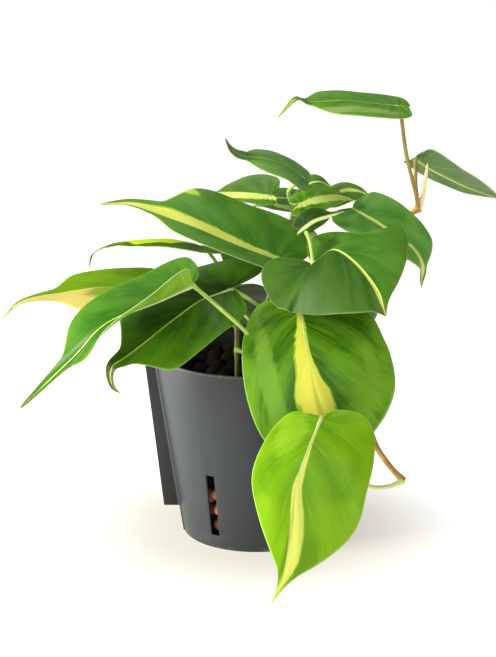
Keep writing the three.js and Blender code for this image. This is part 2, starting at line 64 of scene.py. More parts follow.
# shader tools: a colour is written "#rrggbb" all through the script

def colour(code):  # as linear red, green and blue
    parts = [int(code[i:i + 2], 16) / 255 for i in (1, 3, 5)]
    return tuple(c / 12.92 if c <= 0.04045 else ((c + 0.055) / 1.055) ** 2.4 for c in parts)


def sumStep(operation, turned=False):  # turned where the wire stands on the right, as in 1 - mask
    def step(wire, *others):
        values = (*others, wire) if turned else (wire, *others)
        return wire.maths(operation, *values)
    return step


class Wire:  # one output of a node, which can stand in a sum
    def __init__(self, shader, socket):
        self.shader = shader
        self.socket = socket

    def also(self, number):  # another output of the same node
        return Wire(self.shader, self.socket.node.outputs[number])

    def maths(self, operation, *values):
        return self.shader.node("ShaderNodeMath", {"operation": operation}, dict(enumerate(values)))

    __add__ = __radd__ = sumStep("ADD")
    __mul__ = __rmul__ = sumStep("MULTIPLY")
    __sub__ = sumStep("SUBTRACT")
    __rsub__ = sumStep("SUBTRACT", turned=True)
    __truediv__ = sumStep("DIVIDE")
    __gt__ = sumStep("GREATER_THAN")
    __abs__ = sumStep("ABSOLUTE")


class Shader:  # a material, with the colour that is painted so far as its base
    def __init__(self, name, roughness, gloss=0.5):
        self.material = bpy.data.materials.new(name)
        self.material.use_nodes = True
        self.tree = self.material.node_tree
        self.surface = self.tree.nodes["Principled BSDF"]
        self.surface.inputs["Roughness"].default_value = roughness
        self.surface.inputs["Specular IOR Level"].default_value = gloss
        self.base = None

    def feed(self, socket, value):
        if isinstance(value, Wire):
            self.tree.links.new(value.socket, socket)
        else:
            socket.default_value = (*colour(value), 1) if isinstance(value, str) else value

    def node(self, kind, settings=None, sockets=None, output=0):
        made = self.tree.nodes.new(kind)
        for name, value in (settings or {}).items():
            if name == "stops":
                self.setStops(made.color_ramp, value)
            else:
                setattr(made, name, value)
        for name, value in (sockets or {}).items():
            self.feed(made.inputs[name], value)
        return Wire(self, made.outputs[output])

    def setStops(self, ramp, stops):
        while len(ramp.elements) > 1:
            ramp.elements.remove(ramp.elements[-1])
        for number, (place, value) in enumerate(stops):
            element = ramp.elements[0] if number == 0 else ramp.elements.new(place)
            element.position = place
            element.color = (*colour(value), 1) if isinstance(value, str) else (value, value, value, 1)

    def mix(self, mask, first, second):  # first where the mask is 0
        sockets = {0: mask, 6: first, 7: second}
        return self.node("ShaderNodeMix", {"data_type": "RGBA", "blend_type": "MIX"}, sockets, 2)

    def paint(self, mask, tone):  # over what is painted already
        self.base = self.mix(mask, self.base, tone)

    def ramp(self, value, stops):
        return self.node("ShaderNodeValToRGB", {"stops": stops}, {0: value})

    def smooth(self, value, low, high):  # 0 below low, 1 above high
        settings = {"interpolation_type": "SMOOTHSTEP"}
        return self.node("ShaderNodeMapRange", settings, {0: value, 1: low, 2: high})

    def grain(self, place, scale, detail, roughness=0.5):
        sockets = {"Vector": place, "Scale": scale, "Detail": detail, "Roughness": roughness}
        return self.node("ShaderNodeTexNoise", None, sockets)

    def vector(self, operation, sockets, output=0):
        return self.node("ShaderNodeVectorMath", {"operation": operation}, sockets, output)

    def spot(self):  # the place on the piece, in metres
        return self.node("ShaderNodeTexCoord", None, None, 3)

    def axes(self, place):
        first = self.node("ShaderNodeSeparateXYZ", None, {0: place})
        return first, first.also(1), first.also(2)

    def chart(self, name):  # the two numbers of a UV map
        return self.axes(self.node("ShaderNodeUVMap", {"uv_map": name}))[:2]

    def join(self, x, y, z=0.0):
        return self.node("ShaderNodeCombineXYZ", None, {0: x, 1: y, 2: z})

    def finish(self, roughness, height, depth, strength):  # depth in millimetres for a height of 1
        self.feed(self.surface.inputs["Base Color"], self.base)
        if roughness is not None:
            self.feed(self.surface.inputs["Roughness"], roughness)
        sockets = {"Strength": strength, "Distance": depth * mm, "Height": height}
        self.feed(self.surface.inputs["Normal"], self.node("ShaderNodeBump", None, sockets))
        return self.material


# mesh tools

class Mould:  # gathers the faces of one piece, with two charts for its materials
    def __init__(self):
        self.points = []
        self.faces = []
        self.kinds = []
        self.charts = {"flat": [], "rows": []}

    def point(self, place):
        self.points.append(Vector(place))
        return len(self.points) - 1

    def face(self, corners, kind, flat=None, rows=None):
        kept = [i for i, c in enumerate(corners) if c != corners[i - 1]]
        if len(kept) < 3:
            return
        self.faces.append([corners[i] for i in kept])
        self.kinds.append(kind)
        for name, spots in (("flat", flat), ("rows", rows)):
            self.charts[name].extend([spots[i] for i in kept] if spots else [(0, 0)] * len(kept))

    def band(self, low, high, kind, reach=(0, 0)):  # a row of faces round, between two rings
        count = len(low)
        for k in range(count):
            after = (k + 1) % count
            left, right = k / count, (k + 1) / count
            spots = [(left, reach[0]), (right, reach[0]), (right, reach[1]), (left, reach[1])]
            self.face([low[k], low[after], high[after], high[k]], kind, spots, spots)

    def piece(self, name, materials):
        mesh = bpy.data.meshes.new(name)
        mesh.from_pydata([tuple(p) for p in self.points], [], self.faces)
        for chart, spots in self.charts.items():
            layer = mesh.uv_layers.new(name=chart)
            layer.data.foreach_set("uv", [number for spot in spots for number in spot])
        mesh.polygons.foreach_set("material_index", self.kinds)
        mesh.shade_smooth()
        mesh.update()
        return placed(mesh, materials)


def placed(mesh, materials):
    for material in materials:
        mesh.materials.append(material)
    made = bpy.data.objects.new(mesh.name, mesh)
    scene.collection.objects.link(made)
    return made


def fromBmesh(name, shell, materials):
    bmesh.ops.recalc_face_normals(shell, faces=shell.faces)
    mesh = bpy.data.meshes.new(name)
    shell.to_mesh(mesh)
    shell.free()
    return placed(mesh, materials)


def settle(piece, slot, *nodes):  # a piece that stands for nodes of the part
    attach(piece, "root")
    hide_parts(*nodes)


class Path:  # a smooth curve through points, read by its length
    def __init__(self, points):
        ends = [2 * points[0] - points[1], *points, 2 * points[-1] - points[-2]]
        steps = 36
        self.line = []
        for a, b, c, d in zip(ends, ends[1:], ends[2:], ends[3:]):
            leave, arrive = (c - a) / 2, (d - b) / 2
            for step in range(steps):
                t = step / steps
                self.line.append(
                    b * (2 * t ** 3 - 3 * t ** 2 + 1) + leave * (t ** 3 - 2 * t ** 2 + t)
                    + c * (3 * t ** 2 - 2 * t ** 3) + arrive * (t ** 3 - t ** 2)
                )
        self.line.append(points[-1])
        self.reach = [0.0]
        for a, b in zip(self.line, self.line[1:]):
            self.reach.append(self.reach[-1] + (b - a).length)
        self.length = self.reach[-1]

    def find(self, t):
        goal = min(max(t, 0), 1) * self.length
        i = min(max(bisect.bisect_right(self.reach, goal) - 1, 0), len(self.line) - 2)
        return i, (goal - self.reach[i]) / (self.reach[i + 1] - self.reach[i])

    def at(self, t):
        i, share = self.find(t)
        return self.line[i].lerp(self.line[i + 1], share)

    def ahead(self, t):  # the direction there
        i, share = self.find(t)
        last = len(self.line) - 1
        here = self.line[min(i + 1, last)] - self.line[max(i - 1, 0)]
        there = self.line[min(i + 2, last)] - self.line[i]
        return here.normalized().lerp(there.normalized(), share).normalized()


def inMetres(places):
    return [Vector(place) * mm for place in places]


def polar(radius, turn, z):
    return Vector((radius * math.cos(turn), radius * math.sin(turn), z)) * mm


def addTube(mould, path, radiusAt, sides, step, kind):  # radiusAt reads the share of the length
    count = max(8, round(path.length / (step * mm)))
    side = path.ahead(0).orthogonal().normalized()
    rings = []
    for n in range(count + 1):
        t = n / count
        ahead = path.ahead(t)
        side = (side - ahead * side.dot(ahead)).normalized()
        up = ahead.cross(side)
        radius = radiusAt(t) * mm
        turns = [math.tau * k / sides for k in range(sides)]
        rings.append([
            mould.point(path.at(t) + radius * (math.cos(a) * side + math.sin(a) * up)) for a in turns
        ])
    for n in range(count):
        reach = (n * path.length / count, (n + 1) * path.length / count)
        mould.band(rings[n], rings[n + 1], kind, reach)
    for ring, t, out in ((rings[0], 0, -0.5), (rings[-1], 1, 0.5)):  # the rounded ends
        middle = mould.point(path.at(t) + path.ahead(t) * (radiusAt(t) * mm * out))
        for k in range(sides):
            pair = [ring[k], ring[(k + 1) % sides]]
            spots = [(k / sides, t * path.length)] * 3
            mould.face([*(pair if t else pair[::-1]), middle], kind, spots, spots)


def bump(t, middle, width):  # a soft hump of height 1
    return math.exp(-(((t - middle) / width) ** 2))


# the pot

potLook = {
    "height": 120,
    "rimRadius": 65,
    "footRadius": 47,
    "footRing": 5,
    "footGap": 1.2,  # the base lies so high inside the foot's ring
    "wall": 1.6,
    "base": 2,
    "rounding": 0.7,
    "fillet": 0.6,
    "softened": 0.35,
    "softenedFrom": 50,  # the angle between two faces
    "sharpFrom": 40,
    "rowHeights": (70, 95),
    "slots": 6,
    "slotWidth": 6,
    "slotHeights": (9, 50.5),
    "firstSlot": 238,
    "guideGap": 12.4,
    "flange": 1.6,
    "flangeHeights": (17, 118.5),
    "flangeReach": (59.5, 71.2),
    "flangeSunk": 1.3,
    "ridge": (8.0, 1.1, 0.8),  # a moulded line beside the guide: its distance, width and height
    "ridgeHeights": (0.4, 118.8),
    "ridgeSunk": 0.8,
    "ridgeShoulder": 0.6,  # of its height
    "guideShadeFrom": (1.2, 2.0),  # so far out of the wall the painted shade of the guide sets in
    "highlightLine": (0.3, 0.6, 1.1, 1.3),  # out of the wall: where the painted highlight on the moulded line begins, is full, fades and ends
    "footScuffs": 12,
    # the band at the rim: a painted highlight with scuffs on it
    "rimHighlightAndScuffs": (118, 119.5),
    "plastic": ("#272b2d", "#2f3538"),
    # painted shade: the guide's flanges are painted darker than the wall
    "guideShade": "#14181a",
    # a pale tone for dust specks and scuffs, and for the painted highlights on the moulded line and the
    # rim
    "paleMark": "#6b6e6c",
    "roughness": 0.42,
}


def wallRadius(z):
    foot, rim = potLook["footRadius"], potLook["rimRadius"]
    return foot + (rim - foot) * z / potLook["height"]


def innerRadius(z):
    return wallRadius(z) - potLook["wall"]


def slotTurn(number):
    return math.radians(potLook["firstSlot"] + 360 / potLook["slots"] * number)


def plasticMaterial():
    look = potLook
    paleMark = look["paleMark"]
    shade = Shader("anthracite_plastic", look["roughness"])
    spot = shade.spot()
    x, y, height = shade.axes(spot)
    clouds = shade.grain(spot, 28, 4, 0.55)
    speckle = shade.grain(spot, 1900, 2, 0.6)
    shade.base = shade.mix(clouds, *look["plastic"])
    shade.paint(shade.smooth(speckle, 0.6, 0.8) * 0.25, paleMark)

    # painted shade on the guide, which stands out from the wall, and a painted highlight on the moulded
    # line
    slope = (look["rimRadius"] - look["footRadius"]) / look["height"]
    away = shade.vector("LENGTH", {0: shade.join(x, y)}, 1)
    beyond = (away - height * slope - look["footRadius"] * mm) / mm
    shade.paint(shade.smooth(beyond, *look["guideShadeFrom"]), look["guideShade"])
    highlightFrom, highlightFully, lessFrom, highlightTo = look["highlightLine"]
    paintedHighlight = shade.smooth(beyond, highlightFrom, highlightFully) * (1 - shade.smooth(beyond, lessFrom, highlightTo))
    # a painted highlight along the moulded line
    shade.paint(paintedHighlight * 0.55, paleMark)

    # scuffs at the foot; at the rim, scuffs over a painted highlight
    foot = 1 - shade.smooth(height / mm, 0, look["footScuffs"])
    rim = shade.smooth(height / mm, *look["rimHighlightAndScuffs"])
    scuffs = shade.smooth(shade.grain(spot, 160, 5, 0.7), 0.5, 0.72)
    shade.paint(foot * 0.5 * scuffs + rim * (scuffs * 0.4 + 0.4), paleMark)
    roughness = look["roughness"] + (clouds - 0.5) * 0.12 + scuffs * 0.05
    drawn = shade.grain(shade.vector("MULTIPLY", {0: spot, 1: (1, 1, 0.06)}), 420, 2)
    return shade.finish(roughness, speckle * 0.5 + drawn * 0.35 + clouds * 1.2, 0.12, 0.5)


def addPrism(shell, outlines):  # a solid between two outlines
    first, second = ([shell.verts.new(place) for place in outline] for outline in outlines)
    shell.faces.new(first)
    shell.faces.new(second)
    for k in range(len(first)):
        shell.faces.new((first[k - 1], first[k], second[k], second[k - 1]))


def addGuide(shell):  # two flanges for a water gauge, and the moulded line beside them
    look = potLook
    heights, reaches = look["flangeHeights"], look["flangeReach"]
    corners = [(look["flangeSunk"] - wallRadius(z), z) for z in heights]
    corners += [(-reach, z) for reach, z in zip(reaches[::-1], heights[::-1])]
    for side in (-1, 1):
        ends = [side * (look["guideGap"] / 2 + out) for out in (0, look["flange"])]
        addPrism(shell, [inMetres((x, y, z) for x, z in corners) for y in ends])
    away, width, high = look["ridge"]
    low, shoulder = -look["ridgeSunk"], high * look["ridgeShoulder"]
    corners = [(low, 0), (shoulder, 0), (high, width / 2), (shoulder, width), (low, width)]
    addPrism(shell, [
        [polar(wallRadius(z) + out, math.pi + (away + along) / wallRadius(z), z) for out, along in corners]
        for z in look["ridgeHeights"]
    ])


def makePot():
    look = potLook
    foot, rim, wall, top = look["footRadius"], look["rimRadius"], look["wall"], look["height"]
    r, base, fillet = look["rounding"], look["base"], look["fillet"]
    ring = foot - look["footRing"]
    slotLow, slotHigh = look["slotHeights"]
    slotRows = (slotLow, (slotLow + slotHigh) / 2, slotHigh)
    heights = (*slotRows, *look["rowHeights"], top - r)
    profile = [
        (ring, look["footGap"]), (ring - fillet, 0), (foot - r, 0), (foot - 0.2 * r, 0.25 * r),
        (wallRadius(r), r), *((wallRadius(z), z) for z in heights),
        (rim - 0.25 * r, top - 0.25 * r), (rim - r, top), (rim - wall + 0.5 * r, top),
        (rim - wall + 0.05 * r, top - 0.3 * r), *((innerRadius(z), z) for z in heights[::-1]),
        (innerRadius(base + fillet), base + fillet), (innerRadius(base) - fillet, base),
    ]

    # the columns of one sixth of the wall, about the middle of its slot
    spread = [*range(-30, -5, 2), "left", 0, "right", *range(6, 30, 2)]
    columns = [(n, place) for n in range(look["slots"]) for place in spread]

    def turnAt(number, place, radius):
        half = math.asin(look["slotWidth"] / 2 / radius)
        if isinstance(place, str):
            return slotTurn(number) + {"left": -half, "right": half}[place]
        return slotTurn(number) + math.radians(place)

    shell = bmesh.new()
    rings = [
        [shell.verts.new(polar(radius, turnAt(*column, radius), z)) for column in columns]
        for radius, z in profile
    ]
    heights = [z for _, z in profile]
    count = len(columns)
    for n, (low, high) in enumerate(zip(rings, rings[1:])):
        opened = heights[n] in slotRows and heights[n + 1] in slotRows
        for k in range(count):
            after = (k + 1) % count
            if not (opened and (columns[k][1] == "left" or columns[after][1] == "right")):
                shell.faces.new((low[k], low[after], high[after], high[k]))
    for n in (0, -1):
        centre = shell.verts.new((0, 0, heights[n] * mm))
        for k in range(count):
            shell.faces.new((centre, rings[n][k - 1], rings[n][k]))

    # the four sides of each slot, through the wall
    outer = [rings[heights.index(z)] for z in slotRows]
    inner = [rings[len(rings) - 1 - heights[::-1].index(z)] for z in slotRows]
    sides = []
    for k, (_, place) in enumerate(columns):
        if place in ("left", "right"):
            sides += [(0, k, 1, k), (1, k, 2, k)]
        if place in ("left", 0):
            sides += [(0, k, 0, k + 1), (2, k, 2, k + 1)]
    for row, k, otherRow, other in sides:
        shell.faces.new((outer[row][k], outer[otherRow][other], inner[otherRow][other], inner[row][k]))
    addGuide(shell)
    pot = fromBmesh("pot_shell", shell, [plasticMaterial()])
    softened = pot.modifiers.new("softened", "BEVEL")
    softened.width = look["softened"] * mm
    softened.segments = 2
    softened.limit_method = "ANGLE"
    softened.angle_limit = math.radians(look["softenedFrom"])
    graph = bpy.context.evaluated_depsgraph_get()
    plain = pot.data
    pot.data = bpy.data.meshes.new_from_object(pot.evaluated_get(graph), depsgraph=graph)
    pot.modifiers.clear()
    bpy.data.meshes.remove(plain)
    pot.data.shade_smooth()
    pot.data.set_sharp_from_angle(angle=math.radians(look["sharpFrom"]))
    settle(pot, "pot", "pot")


makePot()
print("pot made")


# the vines, as routes: each runs up the stem from its foot; a stalk leaves it at the stalk's first
# point and ends at the notch of its leaf

vineLook = {
    "rooted": (86.3, 104, 117),  # heights at which a stem stands straight in the pebbles
    "stemRadius": 1.6,
    "nodeRadius": 2.25,
    "nodeReach": 3.2,
    "unevenness": 0.08,
    "stalkRadius": 1.25,
    "stalkFoot": (0.95, 5),  # thicker by so much where it leaves the stem, and how far
    "knuckleRadius": 1.6,
    "knuckleReach": 3.2,
    "knuckleDepth": 0.8,  # its middle lies so far under the blade
    "shootTip": 0.12,
}

vines = {
    "vine_left": {
        "bark": "young", "foot": (-12, -12),
        "route": [(-12, -5, 130), (-12, 6, 142), (-14, 20, 154), (-20, 26, 162)],
        "stalks": {
            "leaf_left_long": [
                (-12, -10, 122), (-7, -26, 125), (-2, -42, 131), (-3, -56, 141), (-8, -64, 150),
                (-22, -68, 164),
            ],
            "leaf_left_cream": [(-12, -1, 136), (-24, -2, 142), (-36, -1, 149)],
            "leaf_left_thin": [(-20, 26, 162), (-27, 30, 172)],
        },
    },
    "vine_centre": {
        "bark": "young", "foot": (10, -12),
        "route": [(17, -11, 138), (31, -8, 158), (40, -3, 176), (38, -1, 190), (33, -3, 201)],
        "stalks": {
            "leaf_over_rim": [(12, -12, 124), (10, -24, 146), (-2, -36, 160)],
            "leaf_left_large": [(19, -11, 142), (18, -14, 160), (15, -16, 174)],
            "leaf_centre": [
                (40, -3, 180), (36, -8, 191), (31, -20, 199), (31, -34, 202), (33, -42, 196),
            ],
            "leaf_young_dark": [(37, -2, 194), (30, -8, 197)],
            "leaf_young_cream": [(33, -3, 201), (28, 2, 204)],
        },
    },
    "vine_right": {
        "bark": "bronze", "foot": (20, 8), "nodeRadius": 3, "shootRadius": 2.3,
        "route": [(28, 11, 138), (45, 15, 160), (66, 18, 178), (88, 20, 195), (104, 19, 208)],
        "shoot": [(104, 19, 208), (106.5, 16, 222), (108, 12, 238)],
        "stalks": {
            "leaf_right_dark": [(62, 17, 175), (60, 13, 192), (60, 9, 204)],
            "leaf_top_right": [(104, 19, 208), (100, 12, 222), (94, 10, 245)],
            "leaf_right_far": [(104, 19, 208), (102, 24, 221)],
        },
    },
    "vine_trailing": {
        "bark": "brown", "foot": (28, -30), "stemRadius": 1.9,
        "route": [
            (36, -40, 128), (49, -53, 128), (60, -63, 115), (66, -70, 98), (72, -77, 81), (80, -83, 70),
            (88, -87, 62),
        ],
        "stalks": {
            "leaf_front_hanging": [(31, -33, 122), (27, -38, 144), (26, -43, 156)],
            "leaf_front_low": [
                (88, -87, 62), (78, -92, 60), (66, -95, 62), (52, -96, 76), (41, -95, 98),
            ],
        },
    },
    "vine_back": {
        "bark": "young", "foot": (4, 22),
        "route": [(6, 26, 136), (12, 33, 160), (20, 35, 186), (25, 32, 205)],
        "stalks": {
            "leaf_back_left": [(4, 23, 124), (-8, 38, 134), (-17, 54, 138)],
            "leaf_back_right": [(6, 26, 136), (18, 42, 142), (31, 53, 144)],
            "leaf_back_high": [(10, 31, 154), (8, 42, 160)],
            "leaf_inner_dark": [(22, 34, 194), (27, 42, 200)],
            "leaf_top_yellow": [(25, 32, 205), (19, 28, 207), (13, 25, 209)],
            "leaf_young_back": [(25, 32, 205), (29, 31, 214)],
            "leaf_young_right": [(25, 32, 205), (37, 36, 207), (46, 38, 208)],
            "leaf_top_horn": [(25, 32, 205), (21, 22, 215), (22, 13, 222)],
        },
    },
}


# the clay pebbles

pebbleLook = {
    "seed": 11,
    "radius": (4.6, 6.6),
    "squash": [(0.84, 1), (0.76, 0.92)],  # along two of its axes
    "lumps": [(0.1, 1.3), (0.035, 4)],  # how high, how close
    "layers": [(97.5, 1.5, 2600), (105.2, 1.4, 2600)],  # middle height, spread, tries
    "closeness": 0.86,
    "wallGap": 0.4,
    "stemRoom": 2.0,
    "coreHeights": (2.6, 95),
    "coreGap": 9,
    "coreSides": 64,
    # the core: a near-black body under the stones that stands for the shade in the gaps between them
    "core": ("#070403", "#170e0a"),
    # the slot stones' tones are painted lighter, as if lit, and the top stones' near black, as painted
    # shade
    "litSlotTones": ("#4a2e20", "#9a5c40", "#b9835c", "#cdb096"),  # dark, red, light and dusty
    "shadedTopTones": ("#0b0705", "#170e09", "#24170f", "#33261e"),
    "frontSlot": [(35.5, 5.2), (25.8, 4.3), (14.6, 5.4)],  # height and radius of the stones in view
    "otherSlots": (13, 22, 32, 42, 51),
    "otherRadius": (4.4, 5.6),
    "slotGap": 0.25,
    "besideSlot": 9,  # stones on both sides of it
    "besideHeights": (9, 50),
    "besideFrontTop": 34,
    "besideRadius": (4.2, 5),
    "besideReach": (7.5, 10),
    "besideGap": 2.2,
}


def pebbleMaterial(name, tones):
    dark, red, light, paleMark = tones
    shade = Shader(name, 0.92, 0.15)
    spot = shade.spot()
    each = shade.node("ShaderNodeNewGeometry", None, None, "Random Per Island")
    shade.base = shade.ramp(each, [(0.0, dark), (0.35, red), (0.7, light), (1.0, red)])
    mottle = shade.grain(spot, 320, 4, 0.6)
    shade.paint(shade.smooth(mottle, 0.35, 0.75) * 0.55, dark)
    shade.paint(shade.smooth(shade.grain(spot, 900, 3, 0.7), 0.58, 0.75) * 0.5, paleMark)
    pores = shade.node("ShaderNodeTexVoronoi", None, {"Vector": spot, "Scale": 1500.0})
    pits = 1 - shade.smooth(pores, 0.0, 0.35)
    shade.paint(pits * 0.5, dark)
    relief = mottle + shade.grain(spot, 1400, 3, 0.7) * 0.6 - pits * 0.8
    return shade.finish(None, relief, 0.5, 0.8)


def unitStone():
    shell = bmesh.new()
    bmesh.ops.create_icosphere(shell, subdivisions=3, radius=1)
    points = [v.co.copy() for v in shell.verts]
    faces = [[v.index for v in f.verts] for f in shell.faces]
    shell.free()
    return points, faces


def addStone(mould, form, centre, radius, draw, kind):
    points, faces = form
    squash = Matrix.Diagonal((1, *(draw.uniform(*limits) for limits in pebbleLook["squash"])))
    tilt = Matrix.Rotation(draw.uniform(0, math.tau), 3, "X")
    turn = tilt @ Matrix.Rotation(draw.uniform(0, math.tau), 3, "Z")
    shift = Vector([draw.uniform(0, 90) for _ in range(3)])
    first = len(mould.points)
    for p in points:
        swell = 1 + sum(high * noise.noise(p * close + shift) for high, close in pebbleLook["lumps"])
        mould.point(centre * mm + turn @ (squash @ (p * swell * radius * mm)))
    for corners in faces:
        mould.face([first + c for c in corners], kind)


def scatter(draw):  # centre, radius and kind of every stone
    look = pebbleLook
    stems = [Vector(vine["foot"]) for vine in vines.values()]
    stones = []
    for level, spread, tries in look["layers"]:
        layer = []
        for _ in range(tries):
            radius = draw.uniform(*look["radius"])
            far = (innerRadius(level) - look["wallGap"] - radius) * math.sqrt(draw.random())
            angle = draw.uniform(0, math.tau)
            spot = Vector((far * math.cos(angle), far * math.sin(angle)))
            if any((spot - s).length < radius + look["stemRoom"] for s in stems):
                continue
            if any((spot - p).length < look["closeness"] * (radius + r) for p, r in layer):
                continue
            layer.append((spot, radius))
            stones.append((Vector((*spot, level + draw.uniform(-spread, spread))), radius, 2))
    for number in range(potLook["slots"]):
        turned = Matrix.Rotation(slotTurn(number), 3, "Z")

        def lean(z, radius, aside, gap):  # against the wall's inside
            far = innerRadius(z - radius) - radius - gap
            stones.append((turned @ Vector((far, aside, z)), radius, 0))

        inView = look["frontSlot"]
        if number > 0:
            inView = [
                (z + draw.uniform(-1, 1), draw.uniform(*look["otherRadius"])) for z in look["otherSlots"]
            ]
        for z, radius in inView:
            lean(z, radius, draw.uniform(-0.7, 0.7), look["slotGap"])
        for _ in range(look["besideSlot"]):
            z, radius = draw.uniform(*look["besideHeights"]), draw.uniform(*look["besideRadius"])
            if number > 0 or z <= look["besideFrontTop"]:
                aside = draw.choice((-1, 1)) * draw.uniform(*look["besideReach"])
                lean(z, radius, aside, look["besideGap"])
    return stones


def makePebbles():
    look = pebbleLook
    draw = random.Random(look["seed"])
    form = unitStone()
    mould = Mould()
    for centre, radius, kind in scatter(draw):
        addStone(mould, form, centre, radius, draw, kind)
    low, high = look["coreHeights"]
    core = [(0, low), (innerRadius(low) - look["coreGap"], low),
            (innerRadius(high) - look["coreGap"], high), (0, high)]
    turns = [math.tau * k / look["coreSides"] for k in range(look["coreSides"])]
    rings = [[mould.point(polar(radius, turn, z)) for turn in turns] for radius, z in core]
    for ring, above in zip(rings, rings[1:]):
        mould.band(ring, above, 1)
    dark = Shader("shaded_clay", 0.95)
    clumps = dark.grain(dark.spot(), 140, 4, 0.6)
    dark.base = dark.mix(clumps, *look["core"])
    bed = mould.piece("pebble_bed", [
        # a copy painted lighter for the slot stones, and one painted near black as shade for the top
        # stones
        pebbleMaterial("lit_slot_clay", look["litSlotTones"]),
        dark.finish(None, clumps, 1.5, 0.8),
        pebbleMaterial("shaded_top_clay", look["shadedTopTones"]),
    ])
    settle(bed, "clay_pebbles", "clay_pebbles")


makePebbles()
print("pebbles made")


# the leaves: their shapes and colours

# rib: the midrib, from the notch to the tip. face: the way the upper side looks, the same all along
# or as a list, at the notch and at the tip. half: how wide each half is. fold and curl: how far it
# turns up at the rib, and how much more by its margin. lift: extra fold that fades out towards the
# tip. level: how far a margin ignores the rise of the midrib above the straight line from notch to
# tip. straight: how closely the rows keep square to that line. wave: height of the margin's waves.
# lobes, cleft, widest, full, point, tip and blunt: the outline, in shares of the rib and the half.
# Where the halves differ, a list gives the left one first, seen from above with the tip ahead.
# greens: dark, middle and light. dim: how much painted shade darkens the right half. streak: its width,
# or its widths left and right, at places from 0 at the notch to 1 at the tip. halo, ragged and flecks:
# lime beside the streak, how uneven the streak is, and lime spots. patches, and overStreak on top of
# the streak: place along and across, radius along and across, colour. under: the lower side's tones.
usualLeaf = {
    "fold": 0, "curl": -8, "lift": 0, "level": 0, "wave": 0.8, "straight": 0.3, "lobes": 0.2,
    "cleft": 0.4, "widest": 0.2, "full": 0, "point": 0.3, "tip": 0.05, "blunt": 0,
    "greens": ("#41751c", "#54881f", "#6b9c2b"), "margin": "#a9c462", "tipTone": "#5f6c1e", "dim": 0,
    "streak": [(0, 0.5), (0.6, 0.5), (1, 0.3)], "cream": "#e3e06c", "lime": "#a5c934", "halo": 0.8,
    "ragged": 0.7, "flecks": 0.2, "patches": [], "overStreak": [], "roughness": 0.38, "gloss": 0.24,
}

